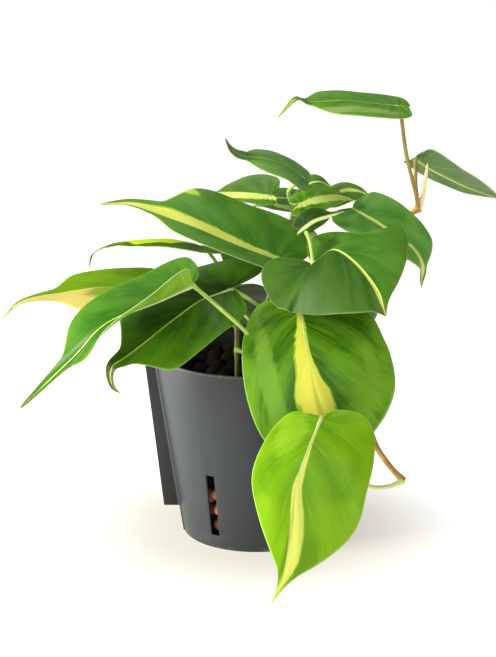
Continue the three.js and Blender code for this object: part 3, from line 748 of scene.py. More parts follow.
leaves = {
    "leaf_front_low": {
        "rib": [
            (38, -104, 107), (30, -114, 91), (23, -121, 72), (21, -127, 47), (17, -132, 23),
            (8, -134.5, 2),
        ],
        "face": [(0.05, -1, 0.35), (-0.1, -1, 0.15)], "half": [42, 27], "fold": -4, "curl": [-12, -14],
        "straight": 1, "lobes": [0.08, 0.005], "widest": 0.36, "full": 0.05, "point": 0.2, "tip": 0.035,
        "greens": ("#5b8e00", "#6c9800", "#7eac12"), "margin": "#bcd878", "tipTone": "#a5bd4e",
        "streak": [
            (0, 0.8), (0.15, 1.2, 0.8), (0.3, 3, 0.6), (0.38, 3.6, 2), (0.5, 5.5, 2.2), (0.6, 6.3, 2),
            (0.74, 6, 1.5), (0.84, 3, 0.8), (0.92, 0.7, 0.5), (1, 0.5),
        ],
        "cream": "#c6ca5e", "halo": 0.3, "ragged": 0.3,
        "patches": [(0.12, 13, 0.16, 10, "#80b01e"), (0.74, -10, 0.2, 8, "#5f8c04")], "gloss": 0.14,
    },
    "leaf_front_hanging": {
        "rib": [
            (26, -50, 163), (28, -63, 153), (31, -76, 135), (37, -84, 112), (49, -87, 87),
            (60, -85, 62),
        ],
        "face": [(0, -0.8, 0.6), (0.05, -1, 0.1)], "half": [52, 41], "fold": [-6, -4],
        "curl": [-16, -8], "wave": 0.4, "straight": 0.1, "lobes": 0.05, "widest": 0.45, "full": 0.2,
        "point": 0.14,
        "greens": ("#2f6000", "#4b8200", "#7cab28"), "margin": "#a9c860",
        "streak": [
            (0, 1, 1.5), (0.12, 1, 3.3), (0.3, 1.5, 7.5), (0.4, 4, 8.5), (0.5, 7.5, 12),
            (0.58, 7.5, 12), (0.66, 6, 8), (0.8, 3, 4), (1, 1),
        ],
        "cream": "#d2cf48", "halo": 0.7, "flecks": 0.3,
        # the two patches are painted sheen: lighter bands where the blade reflects the light
        "patches": [(0.42, 26, 0.4, 7, "#6f9c30"), (0.45, -38, 0.24, 6, "#6f9a26")], "gloss": 0.18,
    },
    "leaf_centre": {
        "rib": [(34, -46, 186), (46, -56, 197), (59, -70, 191), (70, -84, 179), (75, -97, 166)],
        "face": [(-0.18, -0.44, 0.88), (-0.1, -0.5, 0.85)], "half": [51, 39], "fold": [4, -4],
        "curl": [-38, -26], "level": [0, 0.6], "wave": 0.45, "straight": 1, "lobes": [0.26, 0.33],
        "point": 0.16,
        # dim darkens the near half as painted shade; the patch paints the far half lighter near the notch,
        # as painted light
        "greens": ("#2c6002", "#40740e", "#5c8c28"), "margin": "#a0c068", "dim": 0.5,
        "streak": [(0, 0.5), (0.3, 0.8), (0.8, 1), (1, 0.5)], "cream": "#d9e46a", "halo": 0.2,
        "ragged": 0.3, "flecks": 0, "patches": [(0.1, -30, 0.3, 8, "#5f8c30")], "roughness": 0.48,
        "gloss": 0.18,
    },
    "leaf_left_large": {
        "rib": [
            (14, -17, 182), (-10, -22, 192), (-37, -24, 204), (-65, -22, 214), (-80, -20, 218),
            (-97, -16, 217),
        ],
        "face": [(0.38, -0.41, 0.83), (0.2, -0.45, 0.88)], "half": [18, 37], "fold": [12, 16],
        "wave": 1.2, "lobes": 0.17, "full": 0.13, "point": 0.32, "tip": 0.13,
        "greens": ("#3f7622", "#50842c", "#62982e"), "margin": "#adc858",
        "streak": [
            (0, 0.4, 2.5), (0.2, 0.6, 4), (0.45, 0.8, 6), (0.62, 1.2, 5.5), (0.8, 1.6, 3.4),
            (0.9, 0.8, 1.2), (1, 0.4),
        ],
        "cream": "#cbd160", "halo": 0.6, "ragged": 0.4, "flecks": 0.25,
        "patches": [(0.6, 26, 0.1, 4, "#c3dd48")],
    },
    "leaf_left_long": {
        "rib": [
            (-38, -62, 177), (-57, -68, 169), (-80, -74, 161), (-94, -78, 153), (-106, -82, 140),
            (-122, -86, 125), (-140, -88, 108),
        ],
        "face": [(-0.33, -0.5, 0.85), (-0.4, -0.3, 0.85)], "half": [20, 30], "fold": [-10, 4],
        "curl": [30, -8], "lift": [74, 2], "lobes": [0, 0.07], "full": 0.18, "tip": 0.15, "blunt": 1,
        "greens": ("#2a5c06", "#38690c", "#4f7e1c"), "margin": "#a9cc58", "tipTone": "#3f5608",
        "streak": [(0, 0.4), (0.5, 0.5), (0.8, 0.6), (1, 0.3)], "cream": "#c7dd75", "halo": 0.3,
        "flecks": 0, "under": {"green": "#6a9814", "pale": "#7fae26"},
    },
    "leaf_over_rim": {
        "rib": [
            (-15, -38.5, 169), (-23, -43, 167), (-34, -49, 164), (-47, -55, 156), (-64, -63, 144),
            (-78, -68, 134), (-87, -71, 128), (-87, -70, 117), (-81, -67, 110),
        ],
        "face": [(-0.18, -0.4, 0.9), (-0.4, -0.6, 0.6)], "half": [29, 34], "fold": [-7, 6],
        "lift": [-13, 0], "straight": 0, "lobes": [0.02, 0.31], "widest": 0.45, "full": 0.16,
        "tip": 0.08,
        # dim darkens the far half, which lies in shadow, as painted shade
        "greens": ("#2c5604", "#3e7204", "#5e9212"), "margin": "#9dc04c", "dim": 0.5,
        "streak": [(0, 0.4), (0.5, 0.6), (0.76, 0.6), (0.84, 1.3), (1, 1)], "cream": "#b9cc58",
        "halo": 0.5, "flecks": 0.1,
        "under": {"green": "#5f8a22", "pale": "#74983a", "margin": "#8aa83c"},
    },
    "leaf_left_cream": {
        "rib": [
            (-41, 0, 158), (-66, -8, 164), (-95, -16, 164), (-122, -20, 161), (-146, -24, 157),
            (-158, -26, 147),
        ],
        "face": [(0, -0.2, 0.97), (-0.1, -0.3, 0.95)], "half": [24, 32], "fold": [-4, 0], "curl": -6,
        "full": 0.18, "tip": 0.1,
        "greens": ("#527a00", "#608a00", "#74980a"),
        "streak": [
            (0, 0.6), (0.35, 2, 0.8), (0.42, 14, 0.5), (0.5, 20, 1.5), (0.8, 20, 2), (0.93, 1.4, 0.6),
            (1, 0.6, 0.4),
        ],
        "cream": "#bfac60", "ragged": 0.25, "overStreak": [(0.42, -4, 0.16, 7, "#5c8600")],
        "roughness": 0.55, "gloss": 0.12,
    },
    "leaf_left_thin": {
        "rib": [
            (-33, 30, 181), (-56, 32, 185), (-82, 35, 183), (-99, 36, 179), (-107, 36, 174),
            (-109, 36, 165),
        ],
        "face": [(0, 0.14, 1), (0, 0.06, 1)], "half": 26, "fold": -3, "curl": -6, "wave": 0.5,
        "point": 0.32, "tip": 0.09,
        "greens": ("#2c4c0a", "#3a5c0c", "#4c6e12"),
        "streak": [(0, 0.5), (0.15, 2, 3), (0.24, 12), (0.5, 12), (0.58, 3), (0.7, 0.6), (1, 0.6)],
        "cream": "#b5c818", "roughness": 0.6, "gloss": 0.06,
    },
    "leaf_top_right": {
        "rib": [
            (90, 12, 274), (73, 10, 276), (58, 8, 278), (43, 4, 278), (31, 1, 278), (24, -2, 280),
            (13, -4, 269),
        ],
        "face": [(0.23, -0.15, 0.96), (0, -0.2, 1)], "half": [25, 27], "wave": 0.5,
        "lobes": [0.06, 0.09], "cleft": 1, "widest": 0.34, "full": 0.12, "tip": 0.11,
        "greens": ("#427a0a", "#528c12", "#669c24"), "margin": "#a9c474", "tipTone": "#76862c",
        "streak": [(0, 0.4), (0.7, 0.5), (1, 0.4)], "cream": "#b7cf7a", "halo": 0.2,
        "patches": [(0.4, -15, 0.42, 6, "#8aaa58")], "gloss": 0.15,
    },
    "leaf_right_far": {
        "rib": [
            (102, 26, 239), (112, 29, 232), (125, 32, 225), (139, 35, 218), (154, 39, 212),
            (167, 42, 206),
        ],
        "face": (0.29, 0.48, 0.83), "half": [14, 27], "curl": -6, "wave": 0.5, "lobes": [0, 0.05],
        "widest": 0.14, "point": 0.22,
        "greens": ("#3f7014", "#50801e", "#64922c"), "halo": 0.6,
        "under": {"green": "#3e641a", "pale": "#4d7224", "rib": "#8aa052", "margin": "#94aa5c"},
    },
    "leaf_right_dark": {
        "rib": [
            (61, 7, 210), (69, 3, 206), (78, -1, 201), (91, -8, 193), (99, -13, 187), (103, -17, 179),
            (103, -20, 165),
        ],
        "face": [(0.2, -0.54, 0.82), (0.6, -0.4, 0.5)], "half": [28, 22], "fold": 7, "curl": -14,
        "straight": 0.9, "lobes": 0.05, "full": 0.12, "point": 0.18, "tip": 0.09,
        "greens": ("#4a862c", "#5e983a", "#76ae48"),
        "streak": [(0, 1), (0.3, 1.6), (0.6, 1.2), (0.85, 2.2, 1.6), (1, 0.4)], "cream": "#d3dc7c",
        "ragged": 0.5,
    },
    "leaf_top_horn": {
        "rib": [(31, 8, 229), (20, 8, 237), (6, 6, 242), (-8, 4, 244), (-15, 3, 248), (-19, 2, 255)],
        "face": (0.4, -0.2, 0.9), "half": 21, "wave": 0.5, "lobes": 0.06, "full": 0.1, "tip": 0.36,
        "blunt": 0.6,
        "greens": ("#47802a", "#5c9238", "#76a848"), "streak": [(0, 0.4), (0.6, 0.5), (1, 0.4)],
        "cream": "#a9bf58", "halo": 0.3,
    },
    "leaf_top_yellow": {
        "rib": [(10, 24, 215), (-4, 26, 216), (-17, 28, 216), (-29, 30, 216)],
        "face": (0, -0.6, 0.8), "half": [8, 20], "curl": -10, "wave": 0.5, "lobes": 0.1, "point": 0.18,
        "greens": ("#3e6618", "#4c7422", "#63892f"),
        "streak": [(0, 3, 0.6), (0.4, 4, 1), (0.8, 3, 1), (1, 0.6)], "cream": "#c6d270",
    },
    "leaf_young_dark": {
        "rib": [(29, -13, 202), (36, -14, 207), (46, -14, 210), (55, -13, 212)],
        "face": (-0.1, -0.7, 0.5), "half": [8, 6], "fold": [10, -10], "curl": [0, -10], "wave": 0.3,
        "tip": 0.16,
        "greens": ("#163802", "#1e4404", "#2c560a"), "streak": [(0, 0, 2.2), (0.7, 0, 2), (1, 0, 0.6)],
        "cream": "#c3c98a", "halo": 0.3, "ragged": 0.3,
    },
    "leaf_young_cream": {
        "rib": [(28, 4, 213), (39, 3, 217), (51, 4, 218), (63, 6, 215)],
        "face": (0, -0.6, 0.8), "half": [13, 10], "curl": -10, "point": 0.18,
        "greens": ("#2e5808", "#467212", "#6a9824"),
        "streak": [(0, 1.4, 2), (0.4, 2, 3.4), (0.8, 1.4, 2.6), (1, 0.8)], "cream": "#a8ae66",
        "halo": 1.2, "ragged": 1, "flecks": 0.7,
    },
    "leaf_young_right": {
        "rib": [(48, 38, 212), (59, 39, 216), (70, 39, 214), (79, 38, 207)],
        "face": [(0, -0.5, 0.85), (0.4, -0.4, 0.8)], "half": [9, 11], "fold": 5, "curl": -20,
        "point": 0.18,
        "greens": ("#326008", "#467610", "#649420"), "streak": [(0, 1), (0.5, 2, 1.5), (1, 1)],
        "cream": "#cfe07a", "halo": 1.4, "flecks": 0.5,
    },
    "leaf_young_back": {
        "rib": [(30, 30, 220), (40, 31, 223), (51, 31, 218)],
        "face": [(0, -0.4, 0.9), (0.2, -0.4, 0.9)], "half": 9, "fold": 5, "curl": -10, "wave": 0.3,
        "point": 0.18,
        "greens": ("#2e5608", "#507a1a", "#6e962e"), "margin": "#9c7a4a",
        "streak": [(0, 0.5), (0.5, 1), (1, 0.6)], "cream": "#c9db78", "halo": 1, "flecks": 0.4,
    },
    "leaf_inner_dark": {
        "rib": [(26, 44, 209), (15, 45, 210), (4, 46, 208), (-4, 46, 202)],
        "face": (0, -0.5, 0.85), "half": 12, "curl": -10, "wave": 0.3, "point": 0.18,
        "greens": ("#35600f", "#40701a", "#4f8024"), "halo": 0.6,
    },
    "leaf_back_left": {
        "rib": [(-20, 58, 146), (-26, 76, 140), (-30, 88, 118), (-30, 92, 90), (-28, 90, 62)],
        "face": [(-0.1, 0.6, 0.8), (0, 1, 0.1)], "half": 33, "fold": -8, "curl": -14, "wave": 1,
        "point": 0.18,
        "greens": ("#1f4206", "#2a500a", "#386012"),
        "streak": [(0, 1), (0.3, 2, 1.4), (0.6, 3.4, 1.8), (0.85, 2.6, 2), (1, 0.6)], "halo": 1,
        "under": {"green": "#2c4a14", "pale": "#3a5a1e", "rib": "#5f7a34", "margin": "#66823a"},
    },
    "leaf_back_right": {
        "rib": [(34, 56, 152), (48, 70, 152), (62, 82, 138), (68, 88, 112), (66, 88, 88)],
        "face": [(0.3, 0.6, 0.8), (0.3, 1, 0.1)], "half": 33, "fold": -8, "curl": -14, "wave": 1,
        "point": 0.18,
        "streak": [(0, 0.8, 1), (0.35, 1.4, 2.6), (0.6, 1.6, 4.5), (0.85, 2, 3), (1, 0.6)], "halo": 1,
        "under": {"green": "#3a5a1c", "pale": "#4a6c28", "rib": "#6f8a40", "margin": "#76923e"},
    },
    "leaf_back_high": {
        "rib": [(8, 50, 166), (3, 68, 180), (-3, 88, 183), (-8, 110, 170), (-8, 124, 150)],
        "face": [(0, 0.2, 1), (0, 0.8, 0.6)], "half": 30, "fold": -8, "curl": -12, "wave": 1,
        "lobes": 0.1, "point": 0.18,
        "greens": ("#3b6c1e", "#477826", "#55882c"),
        "streak": [(0, 0.8), (0.4, 2.8, 1), (0.7, 3.4, 1.4), (1, 0.6)],
    },
}


def pick(value, number):
    return value[number] if isinstance(value, list) else value


def broadest(leaf):
    return max(pick(leaf["half"], side) for side in (0, 1))


# the leaves: their blades

bladeLook = {
    "rows": 60,
    "firstRow": 0.035,
    "extraRow": 0.994,  # close to the tip
    "columns": (0, 0.03, 0.08, 0.15, 0.23, 0.32, 0.41, 0.5, 0.59, 0.68, 0.77, 0.85, 0.92, 0.975, 1),
    "thickness": 0.5,
    "below": 0.12,  # the blade lies this far inside the plain solid's upper side
    "waves": 2.5,
    "waveOffset": 0.35,
    "groove": 0.09,
    "grooveWidth": 1.1,
    "quilt": 0.55,
    "veins": 7,
    "unevenness": 0.9,
    "fullSize": 40,  # narrower leaves have less relief
    "underRib": (0.28, 0.85, 0.55),  # its radius at the tip, more at the notch, more for its knuckle
    "underRibShare": 0.95,  # how much of the midrib it follows
    "underRibSize": 36,
}


def bezier(points, t):
    a, b, c, d = (Vector(p) for p in points)
    return a * (1 - t) ** 3 + 3 * b * t * (1 - t) ** 2 + 3 * c * t ** 2 * (1 - t) + d * t ** 3


def outlineOf(leaf, side):  # half of a heart in four pieces, from the notch round the lobe to the tip
    lobe, widest, cleft = pick(leaf["lobes"], side), leaf["widest"], leaf["cleft"]
    point, tip, full, blunt = leaf["point"], leaf["tip"], leaf["full"], leaf["blunt"]
    neck = 1 - point
    return [
        [(0, 0), (-cleft * lobe, 0.02), (-lobe, (1 - cleft) / 3), (-lobe, 0.47)],
        [(-lobe, 0.47), (-lobe, 0.8), (widest - 0.25, 1), (widest, 1)],
        [(widest, 1), (0.48 + full, 1), (neck - 0.14, 0.54 + 2 * full), (neck, 0.22)],
        [(neck, 0.22), (neck + (0.3 - 0.2 * blunt) * point, 0.03 + tip),
         (neck + (0.6 + 0.4 * blunt) * point, tip), (1, 0)],
    ]


def flatPoint(outline, s, u):  # row s runs like a side vein, from the rib at u = 0 to the margin
    piece = min(3, int(s * 4))
    margin = bezier(outline[piece], s * 4 - piece)
    start = max(0, (s - 0.25) / 0.75) ** 2.4
    bendAlong = start + (margin.x - start) * 0.3
    v = 1 - u
    along = v * v * start + 2 * v * u * bendAlong + u * u * margin.x
    return along, 2 * v * u * 0.62 * margin.y + u * u * margin.y


def ribOf(leaf):  # the midrib, and the straight way from notch to tip
    rib = Path(inMetres(leaf["rib"]))
    return rib, (rib.at(1) - rib.at(0)).normalized()


def crossFrame(leaf, rib, chord, t):  # across the blade, and out of its upper side
    ahead = rib.ahead(t)
    face = Vector(pick(leaf["face"], 0)).lerp(Vector(pick(leaf["face"], 1)), t)
    square = ahead.cross(face).normalized()
    sideways = square.lerp(chord.cross(face).normalized(), leaf["straight"]).normalized()
    return sideways, sideways.cross(ahead).normalized()


def veinSwell(s, u):  # 0 on a side vein and 1 halfway between two of them
    place = s * bladeLook["veins"]
    return math.sin(math.pi * (place - math.floor(place))) ** 2 * math.sin(math.pi * min(1, u)) ** 0.5


def bentBlade(leaf, number):
    look = bladeLook
    rib, chord = ribOf(leaf)
    aheadAtNotch = rib.ahead(0).lerp(chord, leaf["straight"]).normalized()
    outlines = [outlineOf(leaf, side) for side in (0, 1)]
    small = min(1, broadest(leaf) / look["fullSize"])

    def placeAt(s, u, side):
        sign = 1 if side else -1
        fold, curl, lift = (pick(leaf[key], side) for key in ("fold", "curl", "lift"))
        level, half = pick(leaf["level"], side), pick(leaf["half"], side)
        along, out = flatPoint(outlines[side], s, u)
        t = min(max(along, 0), 1)
        sideways, up = crossFrame(leaf, rib, chord, t)
        distance = out * half * mm
        turn = math.radians(curl) / (half * mm)
        middle = math.radians(fold + lift * (1 - t) ** 2) + turn * distance / 2
        reach = distance * (1 - (turn * distance) ** 2 / 24)
        swell = math.sin(math.tau * (look["waves"] * s + look["waveOffset"] * side))
        wave = leaf["wave"] * swell * u * u * min(1, 5 * (1 - s))
        relief = look["quilt"] * veinSwell(s, u) * min(1, 4 * (1 - s))
        groove = math.exp(-(distance / (look["grooveWidth"] * mm)) ** 2)
        relief -= look["groove"] * groove * min(1, 6 * (1 - t))
        uneven = noise.noise(Vector((along * 5, sign * out * 2.4, number * 7.3)))
        relief += look["unevenness"] * uneven * min(1, u * (1 - s) * 4 if s > 0.75 else u)
        straightLine = rib.at(0).lerp(rib.at(1), t)
        place = rib.at(t).lerp(straightLine, level * u * u)
        place -= aheadAtNotch * (max(0, -along) * rib.length)
        place += sideways * (sign * reach * math.cos(middle))
        place += up * (reach * math.sin(middle) + (wave + relief * small - look["below"]) * mm)
        return place, (along, sign * distance), (s, sign * u)

    return rib, chord, placeAt


def addBlade(mould, leaf, number):
    look = bladeLook
    rib, chord, placeAt = bentBlade(leaf, number)
    start = look["firstRow"]
    rows = [start + (1 - start) * n / look["rows"] for n in range(look["rows"] + 1)]
    rows.insert(-1, look["extraRow"])
    last = len(look["columns"]) - 1
    tops = []  # the upper side's points

    def add(place):
        tops.append(place)
        return len(tops) - 1

    notch = add(placeAt(rows[0], 0, 0)[0])
    tip = add(placeAt(1, 1, 0)[0])
    grids = ([], [])  # rows of corners, each with its place in both charts
    for s in rows:
        onRib = notch if s <= 0.25 else tip if s >= 1 else add(placeAt(s, 0, 0)[0])
        for side, grid in enumerate(grids):
            grid.append([])
            for c, u in enumerate(look["columns"]):
                place, flat, vein = placeAt(s, u, side)
                corner = onRib if c == 0 else tip if s >= 1 else add(place)
                grid[-1].append((corner, flat, vein))
    quads = []
    for side, grid in enumerate(grids):
        for low, high in zip(grid, grid[1:]):
            for c in range(last):
                quad = [low[c], low[c + 1], high[c + 1], high[c]]
                quads.append(quad if side else [quad[0], *quad[:0:-1]])
    normals = [Vector() for _ in tops]
    for quad in quads:
        places = [tops[q[0]] for q in quad]
        across = (places[2] - places[0]).cross(places[3] - places[1])
        for q in quad:
            normals[q[0]] += across
    first = len(mould.points)
    below = first + len(tops)
    for place in tops:
        mould.point(place)
    for place, normal in zip(tops, normals):
        mould.point(place - normal.normalized() * (look["thickness"] * mm))
    for quad in quads:
        corners, flats, veins = zip(*quad)
        mould.face([first + c for c in corners], 0, flats, veins)
        mould.face([below + c for c in corners[::-1]], 1, flats[::-1], veins[::-1])
    left, right = grids
    margin = [*right[0], *(row[last] for row in right[1:])]
    margin += [row[last] for row in reversed(left[1:-1])] + left[0][:0:-1]
    for a, b in zip(margin, margin[1:] + margin[:1]):
        flats, veins = [a[1], a[1], b[1], b[1]], [a[2], a[2], b[2], b[2]]
        mould.face([first + a[0], below + a[0], below + b[0], first + b[0]], 1, flats, veins)
    return rib, chord


def addUnderRib(mould, leaf, rib, chord):  # the raised midrib on the lower side
    look = bladeLook
    size = min(1, broadest(leaf) / look["underRibSize"])
    thin, more, knuckle = look["underRib"]
    radius = lambda t: (thin + more * (1 - t) ** 1.4) * size + knuckle * bump(t, 0, 0.06)
    points = []
    for n in range(13):
        t = look["underRibShare"] * n / 12
        up = crossFrame(leaf, rib, chord, t)[1]
        points.append(rib.at(t) - up * ((look["below"] + look["thickness"] + 0.35 * radius(t)) * mm))
    addTube(mould, Path(points), lambda t: radius(look["underRibShare"] * t), 10, 2.0, 2)


skinLook = {
    "fingers": (38, 1.6),  # how many along the rib, and how broken they are on their way out
    "fineFingers": (95, 3.0),
    "clouds": 38,
    "cells": 2600,
    "darkBeside": (1, 12),  # darker from and to so far beside the streak
    "vein": 0.045,  # half its width, in shares of the way to the next one
    "midrib": (0.2, 0.7),
    "fleckReach": 11,
    "uneven": 0.6,
    "limeSoft": 0.9,
    "streakSoft": 0.3,
    "streakLimit": 24,  # the widest that a streak can be on one side
    "margin": (0.978, 0.993),
}


def addPatches(shade, patches, along, across, fingers):
    for atAlong, atAcross, long, wide, tone in patches:
        first = (along - atAlong) / long
        second = (across - atAcross) / wide
        ring = 1 - first * first - second * second + (fingers - 0.5) * 1.6
        shade.paint(shade.smooth(ring, 0.0, 0.7) * 0.85, tone)


def veinGap(row):  # 0 on a side vein and 0.5 halfway between two of them
    return row.maths("PINGPONG", row * bladeLook["veins"], 0.5)


def nearTip(shade, along, leaf):
    return shade.smooth(along, 1 - 0.9 * leaf["point"], 1 - 0.3 * leaf["point"])


def leafMaterial(name, leaf):
    look = skinLook
    deep, green, bright = leaf["greens"]
    cream, lime, ragged = leaf["cream"], leaf["lime"], leaf["ragged"]
    shade = Shader(name, leaf["roughness"], leaf["gloss"])
    along, across = shade.chart("flat")
    row, outward = shade.chart("rows")
    spot = shade.spot()
    across = across / mm
    distance, share, onRight = abs(across), abs(outward), across > 0

    # fingers that run out along the side veins
    many, broken = look["fingers"]
    fingers = shade.grain(shade.join(row * many, outward * broken), 1, 3, 0.6)
    many, broken = look["fineFingers"]
    fineFingers = shade.grain(shade.join(row * many, outward * broken, 4.0), 1, 2)
    clouds = shade.grain(spot, look["clouds"], 3, 0.55)

    # the width of the streak, from 0 to 1 in the ramps
    limit = look["streakLimit"]
    left, right = (
        shade.ramp(along, [(stop[0], min(1, stop[last] / limit)) for stop in leaf["streak"]]) * limit
        for last in (1, -1)
    )
    width = left * (1 - onRight) + right * onRight

    shade.base = shade.mix(shade.smooth(clouds + (share - 0.5) * 0.25, 0.41, 0.59), deep, green)
    shade.paint(shade.smooth(share + (clouds - 0.5) * 0.9, 0.5, 1.05) * 0.6, bright)
    shade.paint(shade.smooth(fineFingers, 0.42, 0.75) * 0.4, bright)
    shade.paint((1 - shade.smooth(fingers, 0.3, 0.48)) * 0.4, deep)
    shade.paint((1 - shade.smooth(distance - width, *look["darkBeside"])) * 0.45, deep)

    # side veins and midrib, broken here and there
    gap = veinGap(row)
    vein = (1 - shade.smooth(gap, 0.0, look["vein"])) * (1 - shade.smooth(share, 0.4, 0.85))
    vein = vein * shade.smooth(clouds, 0.36, 0.6)
    shade.paint(shade.smooth(gap, 0.1, 0.5) * (1 - shade.smooth(share, 0.5, 0.95)) * 0.3, bright)
    shade.paint(vein * 0.12, leaf["margin"])
    shade.paint((1 - shade.smooth(distance, *look["midrib"])) * 0.4, leaf["margin"])
    tip = nearTip(shade, along, leaf)
    shade.paint(tip * 0.85, leaf["tipTone"])

    # lime flecks and patches, and the streak with its lime edge
    edge = width * (1 - ragged * 0.5 + ragged * fingers) * (1 - tip * 0.45)
    edge = edge + (fineFingers - 0.5) * look["uneven"] * ragged
    halo = (fingers + fineFingers - 0.35) * (1 - tip) * leaf["halo"]
    flecks = shade.smooth(fineFingers * 0.6 + fingers * 0.4, 0.57, 0.66) * leaf["flecks"]
    shade.paint(flecks * shade.smooth(look["fleckReach"] - distance, 0, look["fleckReach"]), lime)
    addPatches(shade, leaf["patches"], along, across, fingers)
    shade.paint(shade.smooth(edge + width * 0.12 + halo - distance, 0, look["limeSoft"]) * 0.7, lime)
    pale = shade.mix(shade.smooth(fingers, 0.45, 0.75) * 0.35, cream, lime)
    shade.paint(shade.smooth(edge - distance, 0, look["streakSoft"]), pale)
    addPatches(shade, leaf["overStreak"], along, across, fingers)
    marginTone = shade.mix(tip, leaf["margin"], leaf["tipTone"])
    shade.paint(shade.smooth(share, *look["margin"]) * 0.45, marginTone)
    # painted shade: the right half darkened by dim
    shade.base = shade.vector("SCALE", {0: shade.base, 3: 1 - onRight * leaf["dim"]})

    cells = shade.grain(spot, look["cells"], 2, 0.6)
    roughness = leaf["roughness"] + (clouds - 0.5) * 0.16 + (cells - 0.5) * 0.1
    relief = cells * 0.12 + fineFingers * 0.35 - vein * 0.5 + clouds * 0.6
    return shade.finish(roughness, relief, 0.25, 0.45)


undersideLook = {
    "green": "#55792b",
    "pale": "#6c8f3d",
    "rib": "#a8bd72",
    "margin": "#b4c983",
    "tipTone": "#6c7a2c",
    "roughness": 0.55,
    "nearRib": (0.5, 4),  # paler from the rib and to so far from it
    "vein": 0.06,
}


def undersideMaterial(name, leaf):
    look = {**undersideLook, **leaf.get("under", {})}
    shade = Shader(name, look["roughness"])
    along, across = shade.chart("flat")
    row, outward = shade.chart("rows")
    spot = shade.spot()
    clouds = shade.grain(spot, 45, 3, 0.6)
    fingers = shade.grain(shade.join(row * 60, outward * 2.4, 2.0), 1, 3, 0.6)
    shade.base = shade.mix(shade.smooth(clouds, 0.35, 0.65), look["green"], look["pale"])
    shade.paint(shade.smooth(fingers, 0.5, 0.7) * 0.25, look["pale"])
    shade.paint((1 - shade.smooth(abs(across) / mm, *look["nearRib"])) * 0.5, look["rib"])
    vein = 1 - shade.smooth(veinGap(row), 0.0, look["vein"])
    shade.paint(vein * 0.35, look["rib"])
    shade.paint(shade.smooth(abs(outward), 0.95, 0.985) * 0.7, look["margin"])
    shade.paint(nearTip(shade, along, leaf) * 0.7, look["tipTone"])
    relief = shade.grain(spot, 2200, 2, 0.6) * 0.2 + vein * 0.9 + fingers * 0.3
    return shade.finish(look["roughness"] + (clouds - 0.5) * 0.1, relief, 0.3, 0.5)


def stalkMaterial(name, pale, deep, blush, roughness=0.42):
    shade = Shader(name, roughness)
    around, along = shade.chart("flat")
    spot = shade.spot()
    lines = shade.grain(shade.join(around * 9, along * 90), 1, 3, 0.6)
    clouds = shade.grain(spot, 90, 3)
    shade.base = shade.mix(shade.smooth(lines, 0.35, 0.65), pale, deep)
    shade.paint(shade.smooth(clouds, 0.45, 0.7) * 0.7, blush)
    specks = shade.smooth(shade.grain(spot, 1300, 2), 0.66, 0.74)
    shade.paint(specks * 0.4, pale)
    return shade.finish(roughness + (clouds - 0.5) * 0.15, lines + specks * 0.4, 0.25, 0.5)


def makeLeaves():
    usualUnder = undersideMaterial("leaf_underside", usualLeaf)
    ribSkin = stalkMaterial("midrib", "#bfcf83", "#a3ba63", "#c9d493")
    for number, (name, given) in enumerate(leaves.items()):
        leaf = {**usualLeaf, **given}
        mould = Mould()
        rib, chord = addBlade(mould, leaf, number)
        addUnderRib(mould, leaf, rib, chord)
        under = undersideMaterial(name + "_underside", leaf) if "under" in leaf else usualUnder
        blade = mould.piece(name + "_blade", [leafMaterial(name + "_skin", leaf), under, ribSkin])
        settle(blade, name, name)


makeLeaves()
print("leaves made")


# stems and stalks

barkTones = {  # pale, deep and blush
    "young": ("#8a9a4a", "#6d7c35", "#8b7444", 0.5),
    "bronze": ("#b88a2e", "#9c6820", "#c89a3e", 0.45),
    "brown": ("#b8923a", "#95682a", "#cdb04a", 0.5),
}

stalkTones = {
    "young": ("#b4d060", "#98ba44", "#c3d477"),
    "bronze": ("#8a8a38", "#8a6224", "#a88a40"),
    "brown": ("#dcdc92", "#c4c873", "#dccb9a"),
}


def knuckleCentre(name):
    leaf = {**usualLeaf, **leaves[name]}
    rib, chord = ribOf(leaf)
    return rib.at(0) - crossFrame(leaf, rib, chord, 0)[1] * (vineLook["knuckleDepth"] * mm)


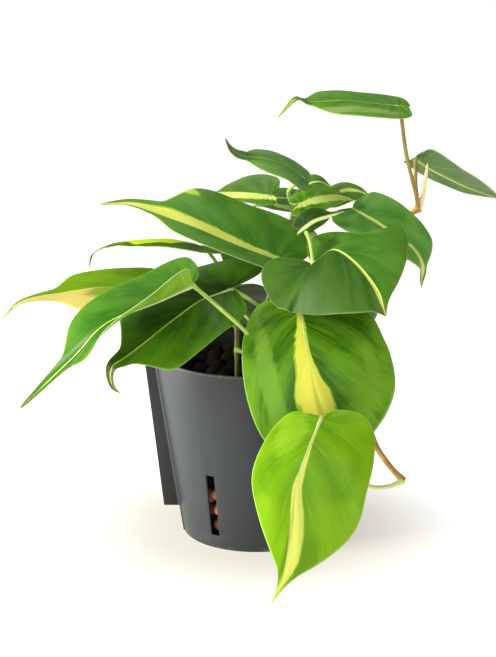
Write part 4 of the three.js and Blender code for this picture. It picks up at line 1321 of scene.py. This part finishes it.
def makeVines():
    look = vineLook
    barks = {name: stalkMaterial(name + "_stem", *tones) for name, tones in barkTones.items()}
    stalks = {name: stalkMaterial(name + "_stalk", *tones) for name, tones in stalkTones.items()}
    shootSkin = stalkMaterial("new_shoot", "#f0e8a8", "#ecdcae", "#f2cfae")
    for name, vine in vines.items():
        mould = Mould()
        foot = [(*vine["foot"], z) for z in look["rooted"]]
        stem = Path(inMetres(foot + vine["route"]))
        joints = []
        for via in vine["stalks"].values():
            goal = Vector(via[0]) * mm
            joints.append(min(range(201), key=lambda n: (stem.at(n / 200) - goal).length) / 200)
        plain = vine.get("stemRadius", look["stemRadius"])
        thicker = vine.get("nodeRadius", look["nodeRadius"]) - look["stemRadius"]

        def stemRadius(t):
            swell = max(bump(t, joint, look["nodeReach"] * mm / stem.length) for joint in joints)
            uneven = look["unevenness"] * noise.noise(Vector((t * 30, 0, 1.7)))
            return plain * (0.92 + uneven) + thicker * swell

        addTube(mould, stem, stemRadius, 14, 1.2, 0)
        for leafName, via in vine["stalks"].items():
            stalk = Path([*inMetres(via), knuckleCentre(leafName)])

            def stalkRadius(t):
                wider, reach = look["stalkFoot"]
                foot = wider * bump(t, 0, reach * mm / stalk.length)
                knuckle = bump(t, 1, look["knuckleReach"] * mm / stalk.length)
                return look["stalkRadius"] + foot + (look["knuckleRadius"] - look["stalkRadius"]) * knuckle

            addTube(mould, stalk, stalkRadius, 12, 1.2, 1)
        if "shoot" in vine:
            shoot = Path(inMetres(vine["shoot"]))
            thick, tip = vine["shootRadius"], look["shootTip"]
            addTube(mould, shoot, lambda t: tip + thick * (1 - t) ** 0.6, 12, 1.0, 2)
        skins = [barks[vine["bark"]], stalks[vine["bark"]], shootSkin]
        settle(mould.piece(name + "_shoots", skins), name, name)


makeVines()
print("vines made")


# floor and light

studio = {
    "floor": ("#8a8780", "#938f86"),  # it shows lighter, because it glows
    "glow": ("#c3c0b5", "#ffffff"),  # a painted shadow round the pot, and white away from it
    "glowReach": (0.05, 0.17),  # metres from the pot, over which the painted shadow fades to white
    "world": 0.28,
    "lamps": {  # place, aims at, size, watts, colour
        "key": ((-1200, -400, 750), (0, 0, 120), 600, 32.0, "#fffdf8"),
        "side": ((-1000, 60, 130), (0, 0, 60), 400, 8.0, "#ffffff"),
        "front": ((300, -1400, 500), (0, 0, 120), 900, 6.0, "#ffffff"),
        "top": ((0, 200, 1200), (0, 0, 120), 900, 3.0, "#ffffff"),
    },
}


def makeStudio():
    shade = Shader("studio_floor", 0.7)
    spot = shade.spot()
    shade.base = shade.mix(shade.grain(spot, 3, 2), *studio["floor"])
    # the floor glows less near the pot: a painted shadow round its foot
    away = shade.smooth(shade.vector("LENGTH", {0: spot}, 1), *studio["glowReach"])
    shade.feed(shade.surface.inputs["Emission Color"], shade.mix(away, *studio["glow"]))
    shade.feed(shade.surface.inputs["Emission Strength"], 1.0)
    shade.finish(None, shade.grain(spot, 900, 2), 0.05, 0.2)
    shell = bmesh.new()
    bmesh.ops.create_grid(shell, x_segments=8, y_segments=8, size=10)
    floor = fromBmesh("studio_floor", shell, [shade.material])

    world = bpy.data.worlds.new("studio_air")
    scene.world = world
    world.use_nodes = True
    world.node_tree.nodes["Background"].inputs[0].default_value = (1, 1, 1, 1)
    world.node_tree.nodes["Background"].inputs[1].default_value = studio["world"]

    for name, (place, aim, size, watts, tint) in studio["lamps"].items():
        light = bpy.data.lights.new(name, "AREA")
        light.shape = "DISK"
        light.size = size * mm
        light.energy = watts
        light.color = colour(tint)
        lamp = bpy.data.objects.new(name, light)
        lamp.location = Vector(place) * mm
        lamp.rotation_euler = (Vector(aim) * mm - lamp.location).to_track_quat("-Z", "Y").to_euler()
        scene.collection.objects.link(lamp)


makeStudio()
print("studio made")
